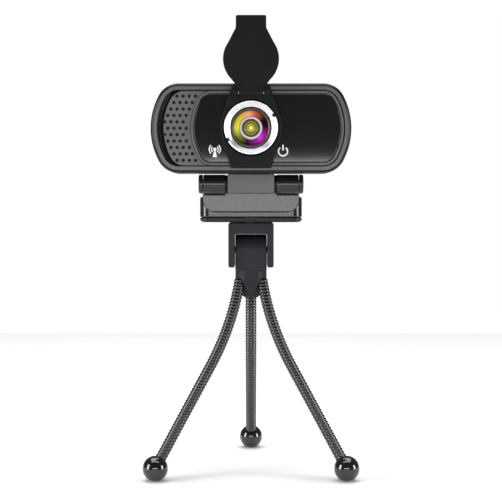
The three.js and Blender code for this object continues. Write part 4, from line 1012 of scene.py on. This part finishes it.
def band(inner, outer, start, end, centre=(0, 0)):
    """A curved stroke between two radii, its angles in degrees."""
    first, last = math.radians(start), math.radians(end)
    return arc(outer, first, last, 24, centre) + arc(inner, last, first, 24, centre)


def make_marks():
    """Two printed marks over the light pipes: the general sign for a radio signal and for power."""
    ink = 0.05
    power = [band(1.75, 2.4, 128, 412), [(-0.33, 0.4), (0.33, 0.4), (0.33, 2.9), (-0.33, 2.9)]]
    head = (0, 0.9)
    signal = [arc(0.75, 0, math.tau, 24, head)[:-1], [(-1.0, -2.6), (1.0, -2.6), (0.3, 0.3), (-0.3, 0.3)]]
    for radius in (1.55, 2.55):
        for side in (0, 180):
            signal.append(band(radius - 0.24, radius + 0.24, side - 48, side + 48, head))
    for name, x, strokes in (("signal_mark", body.signal_x, signal), ("power_mark", body.power_x, power)):
        at = LENS_AT + Vector((x, 0, body.mark_z))
        mark = piece_of(name, *[prism(stroke, -ink, 0.02, "Y", at) for stroke in strokes])
        finished(mark, print_ink, "camera", "clear_plastic")


def make_gland():
    """The grommet at the back that the lead leaves through: a collar with two soft ribs."""
    at = LENS_AT + Vector((0, 0, body.gland_z))
    radius = body.gland_radius
    back = body.depth - 0.2
    profile = filleted([
        (1.7, back - 4.3, 0), (radius, back - 4.3, 0), (radius, back - 1.6, 0.2),
        (radius - 0.5, back - 1.4, 0.1), (radius - 0.5, back - 1.0, 0.1), (radius, back - 0.8, 0.2),
        (radius, back, 0.5), (1.7, back, 0.4)])
    gland = piece_of("lead_grommet", turned(profile, "Y", at, 56))
    finished(gland, pad_silicone, "camera", "pad_rubber", "cable_gland")


# ---------- lens ----------
def make_lens():
    """From outside in: the black barrel, the bright focus ring, the retaining ring and the glass."""
    flange = body.floor_back + GAP
    barrel = piece_of("lens_tube", turned(filleted([
        (lens.barrel_inner, lens.barrel_front, 0.15), (lens.barrel_outer, lens.barrel_front, 0.35),
        (lens.barrel_outer, flange, 0), (lens.flange, flange, 0.2), (lens.flange, flange + 1.2, 0.2),
        (lens.barrel_inner, flange + 1.2, 0)]), "Y", LENS_AT, 128))
    finished(barrel, inner_abs_and_painted_shade, "camera", "inner_plastic", "lens_barrel")
    start = Vector((lens.ring_bore, lens.funnel_back))
    end = Vector((lens.ring_outer - 0.95, lens.ring_front + 0.35))
    slope = end - start
    proud = Vector((slope.y, -slope.x)).normalized()
    count = lens.grooves * 6
    funnel = [start + slope * k / count + proud * lens.groove_depth * abs(math.sin(math.pi * k / 6))
              for k in range(count + 1)]
    lip = filleted([(*end, 0), (lens.ring_outer - 0.75, lens.ring_front, 0.1),
                    (lens.ring_outer, lens.ring_front, 0.3), (lens.ring_outer, lens.ring_front + 0.9, 0.1),
                    (lens.tail, lens.ring_front + 0.9, 0), (lens.tail, lens.tail_back, 0.1),
                    (lens.ring_bore, lens.tail_back, 0.1)])
    ring = piece_of("grooved_focus_ring", turned(funnel + lip[1:], "Y", LENS_AT, 144))
    half = lens.notch_width / 2
    notch = block((-half, lens.ring_front - 1, lens.ring_bore + 0.6), (half, lens.ring_front + 1.6,
                                                                      lens.ring_outer + 1))
    spins = [Matrix.Rotation(math.radians(lens.notch_angle + extra), 4, "Y") for extra in (0, 180)]
    cut(ring, *[aimed(notch, Matrix.Translation(LENS_AT) @ spin) for spin in spins])
    finished(ring, ring_aluminium, "focus", "ring_metal", "focus_ring", angle=24)
    inner = lens.glass_radius - 0.5
    retainer = piece_of("glass_retainer", turned(filleted([
        (inner, -0.2, 0.1), (inner, -0.7, 0.1), (inner + 0.5, -1.1, 0.1), (lens.cell_outer, -1.1, 0.2),
        (lens.cell_outer, -0.2, 0.1)]), "Y", LENS_AT, 112))
    finished(retainer, ring_bronze, "focus", "inner_plastic", "lens_retaining_ring")
    dome = [(lens.glass_radius * k / 24, lens.glass_edge - lens.dome * (1 - (k / 24) ** 2))
            for k in range(25)]
    profile = dome + [(lens.glass_radius, lens.glass_back), (0, lens.glass_back)]
    glass = piece_of("coated_front_element", turned(profile, "Y", LENS_AT, 112))
    finished(glass, lens_glass, "focus", "lens_glass", "front_lens")


# ---------- privacy cover ----------
def tangent(half, rise, radius):
    """The angle at which a line from (half, rise) touches a circle about the origin, above it."""
    return math.atan2(rise, half) - math.acos(radius / math.hypot(half, rise))


def make_cover_frame():
    """The plate stuck over the lens: straight flanks that run on to round shoulders beside the ring."""
    upper = tangent(cover.top_half, cover.above, cover.shoulder)
    lower = -tangent(cover.bottom_half, cover.below, cover.shoulder)
    right = arc(cover.shoulder, lower, upper, 20)
    left = [(-x, z) for x, z in right[::-1]]
    top = filleted([(14, 0, 0), (cover.top_half, cover.above, 0.8), (-cover.top_half, cover.above, 0.8),
                    (-14, 0, 0)])[1:-1]
    low = filleted([
        (-14, 0, 0), (-cover.bottom_half, -cover.below, 1.2), (cover.bottom_half, -cover.below, 1.2),
        (14, 0, 0)])[1:-1]
    outline = right + top + left + low
    plate = piece_of("cover_plate", prism(outline, cover.front, cover.back, "Y", LENS_AT))
    cut(plate, hole(cover.hole, -20, 0, segments=112))
    rounded(plate, 0.45, angle=50)
    hinge = (cover.hinge_y, cover.hinge_z)
    side = arc(cover.hinge_radius, QUARTER, 3 * QUARTER, 20, hinge) + [
        (cover.back - 0.5, cover.hinge_z - 1.1), (cover.back - 0.5, cover.hinge_z + 0.9),
        (cover.hinge_y + 1.6, cover.hinge_z + 0.9)]
    ears = []
    for sign in (-1, 1):
        ends = sorted((sign * (cover.knuckle_half + GAP), sign * cover.top_half))
        ears.append(piece_of("ear", prism(side, *ends, "X", LENS_AT)))
    frame_piece = joined("privacy_frame", plate, *[rounded(ear, 0.2, angle=60) for ear in ears])
    cut(frame_piece, round_bar(cover.pin_radius + GAP, -20, 20, "X", LENS_AT + Vector((0, *hinge))))
    finished(frame_piece, privacy_pc, "camera", "cover_plastic", "cover_frame")


def make_cover_flap():
    """The flap, standing open: a raised disc on a thinner leaf, which is its neck and its thumb tab."""
    front = cover.hinge_y - cover.flap_thickness / 2
    back = front + cover.flap_thickness
    at = LENS_AT + Vector((0, 0, cover.hinge_z))
    centre = cover.hinge_z
    top = centre + cover.flap_radius + cover.tab_rise
    tab_foot = top - cover.tab_length
    radius = cover.flap_radius - 0.05
    upper = tangent(cover.tab_half, tab_foot - centre, radius)
    lower = -tangent(cover.knuckle_half, centre - cover.neck_foot, radius)
    right = arc(radius, lower, upper, 36, (0, centre))
    left = [(-x, z) for x, z in right[::-1]]
    tab = filleted([
        (*right[-1], 0), (cover.tab_half, tab_foot, 3), (cover.tab_half, top, 0.8),
        (-cover.tab_half, top, 0.8), (-cover.tab_half, tab_foot, 3), (*left[0], 0)])[1:-1]
    foot = [(cover.knuckle_half, cover.neck_foot)]
    outline = foot + right + tab + left + [(-x, z) for x, z in foot]
    leaf = rounded(piece_of("leaf", prism(outline, front + cover.step, back, "Y", at)), 0.25, angle=50)
    disc = piece_of("disc", round_bar(cover.flap_radius, front, back - 0.05, "Y",
                                      at + Vector((0, 0, centre)), edge=0.3, segments=128))
    half = cover.knuckle_half
    side = arc(cover.hinge_radius, math.pi, math.tau, 24, (cover.hinge_y, 0)) + [
        (back, 3), (front + cover.step, 3), (front + cover.step, 0.8)]
    knuckle = rounded(piece_of("knuckle", prism(side, -half, half, "X", at)), 0.15, angle=60)
    flap = joined("privacy_flap", leaf, disc, knuckle)
    cut(flap, round_bar(cover.pin_radius + GAP, -20, 20, "X", at + Vector((0, cover.hinge_y, 0))))
    finished(flap, privacy_pc, "flap", "cover_plastic", "cover_flap")


# ---------- the CAD parts that stay ----------
def dress_cad():
    """Materials for the inner parts, which keep their CAD shape."""
    looks = {
        stud_brass: ["tripod_screw"],
        insert_brass: ["tripod_insert"],
        pin_steel: ["arm_hinge_pin", "camera_hinge_pin", "cover_hinge_pin", "case_screw_1", "case_screw_2",
                    "case_screw_3", "case_screw_4", "board_screw_left", "board_screw_right"],
        inner_abs_and_painted_shade: ["lens_mount", "lens_cell"],
        chip_epoxy: ["image_sensor", "microphone"],
        board_mask: ["main_board"],
        filter_glass: ["ir_filter", "second_lens"],
        milky_pc: ["light_pipe_signal", "light_pipe_power", "led_signal", "led_power", "cable_connector"],
        foam_tape: ["cover_adhesive"],
    }
    for material, nodes in looks.items():
        for name in nodes:
            node = frame["nodes"][name]
            if not node.material_slots:
                node.data.materials.append(material)
            for place in node.material_slots:
                place.material = material


# ---------- studio ----------
def soft_light(name, at, aim, size, power):
    data = bpy.data.lights.new(name, "AREA")
    data.shape = "RECTANGLE"
    data.size, data.size_y = size
    data.energy = power
    light = bpy.data.objects.new(name, data)
    light.location = at
    light.rotation_euler = (Vector(aim) - Vector(at)).to_track_quat("-Z", "Y").to_euler()
    bpy.context.scene.collection.objects.link(light)


def make_studio():
    """A pale floor, a white room, and soft boxes above and on both sides of the camera."""
    floor = bpy.data.meshes.new("floor")
    half = 0.6
    floor.from_pydata([(-half, -half, 0), (half, -half, 0), (half, half, 0), (-half, half, 0)], [],
                      [(0, 1, 2, 3)])
    stage = bpy.data.objects.new("floor", floor)
    bpy.context.scene.collection.objects.link(stage)
    material, tree, shader = finish_named("matt_white_paper", 0.9)
    grain = add(tree, "ShaderNodeTexNoise", {"Scale": per_metre(40)})
    tone = add(tree, "ShaderNodeValToRGB", {"Fac": grain}, stops=[(0.0, "#f3f3f3"), (1.0, "#f7f7f7")])
    tree.links.new(tone.outputs["Color"], shader.inputs["Base Color"])
    floor.materials.append(material)
    world = bpy.data.worlds.new("studio")
    world.use_nodes = True
    room = world.node_tree
    seen = add(room, "ShaderNodeLightPath").outputs["Is Camera Ray"]
    strength = add(room, "ShaderNodeMapRange", {"Value": seen, "To Min": 0.16, "To Max": 1.0})
    room.links.new(strength.outputs[0], room.nodes["Background"].inputs["Strength"])
    room.nodes["Background"].inputs["Color"].default_value = (1, 1, 1, 1)
    bpy.context.scene.world = world
    aim = (0, 0, 0.12)
    soft_light("overhead_box", (0, 0.1, 1.3), aim, (1.4, 1.2), 20)
    soft_light("left_box", (-0.95, -0.4, 0.3), aim, (0.35, 0.7), 9)
    soft_light("right_box", (1.0, -0.35, 0.25), aim, (0.3, 0.6), 7)
    soft_light("front_strip", (0, -0.62, 0.13), (0, 0, 0.13), (0.5, 0.08), 0.95)
    bpy.context.scene.view_settings.view_transform = "Standard"


def make_camera():
    """Eye a little above the middle of the object, square on to the lens."""
    data = bpy.data.cameras.new("view")
    data.lens = 86
    data.sensor_width = 36
    eye = bpy.data.objects.new("view", data)
    at = Vector((0, -0.592, 0.131))
    aim = Vector((0, AXIS_Y * MM, 0.107))
    eye.location = at
    eye.rotation_euler = (aim - at).to_track_quat("-Z", "Y").to_euler()
    bpy.context.scene.collection.objects.link(eye)
    bpy.context.scene.camera = eye


make_camera()
make_studio()
wound_wire = coil_tree()
for bend, place_name in (("leg_back_bend", "rear"), ("leg_left_bend", "front_left"),
                         ("leg_right_bend", "front_right")):
    outwards = make_leg(bend, place_name, wound_wire)
    make_foot(bend, place_name, outwards)
make_hub()
make_tilt_pin()
make_head()
make_base()
make_base_cover()
make_pads()
make_arm()
make_hinge_caps()
make_lug()
make_rear_shell()
make_bezel()
make_grille()
make_panel()
make_marks()
make_gland()
make_lens()
make_cover_frame()
make_cover_flap()
dress_cad()
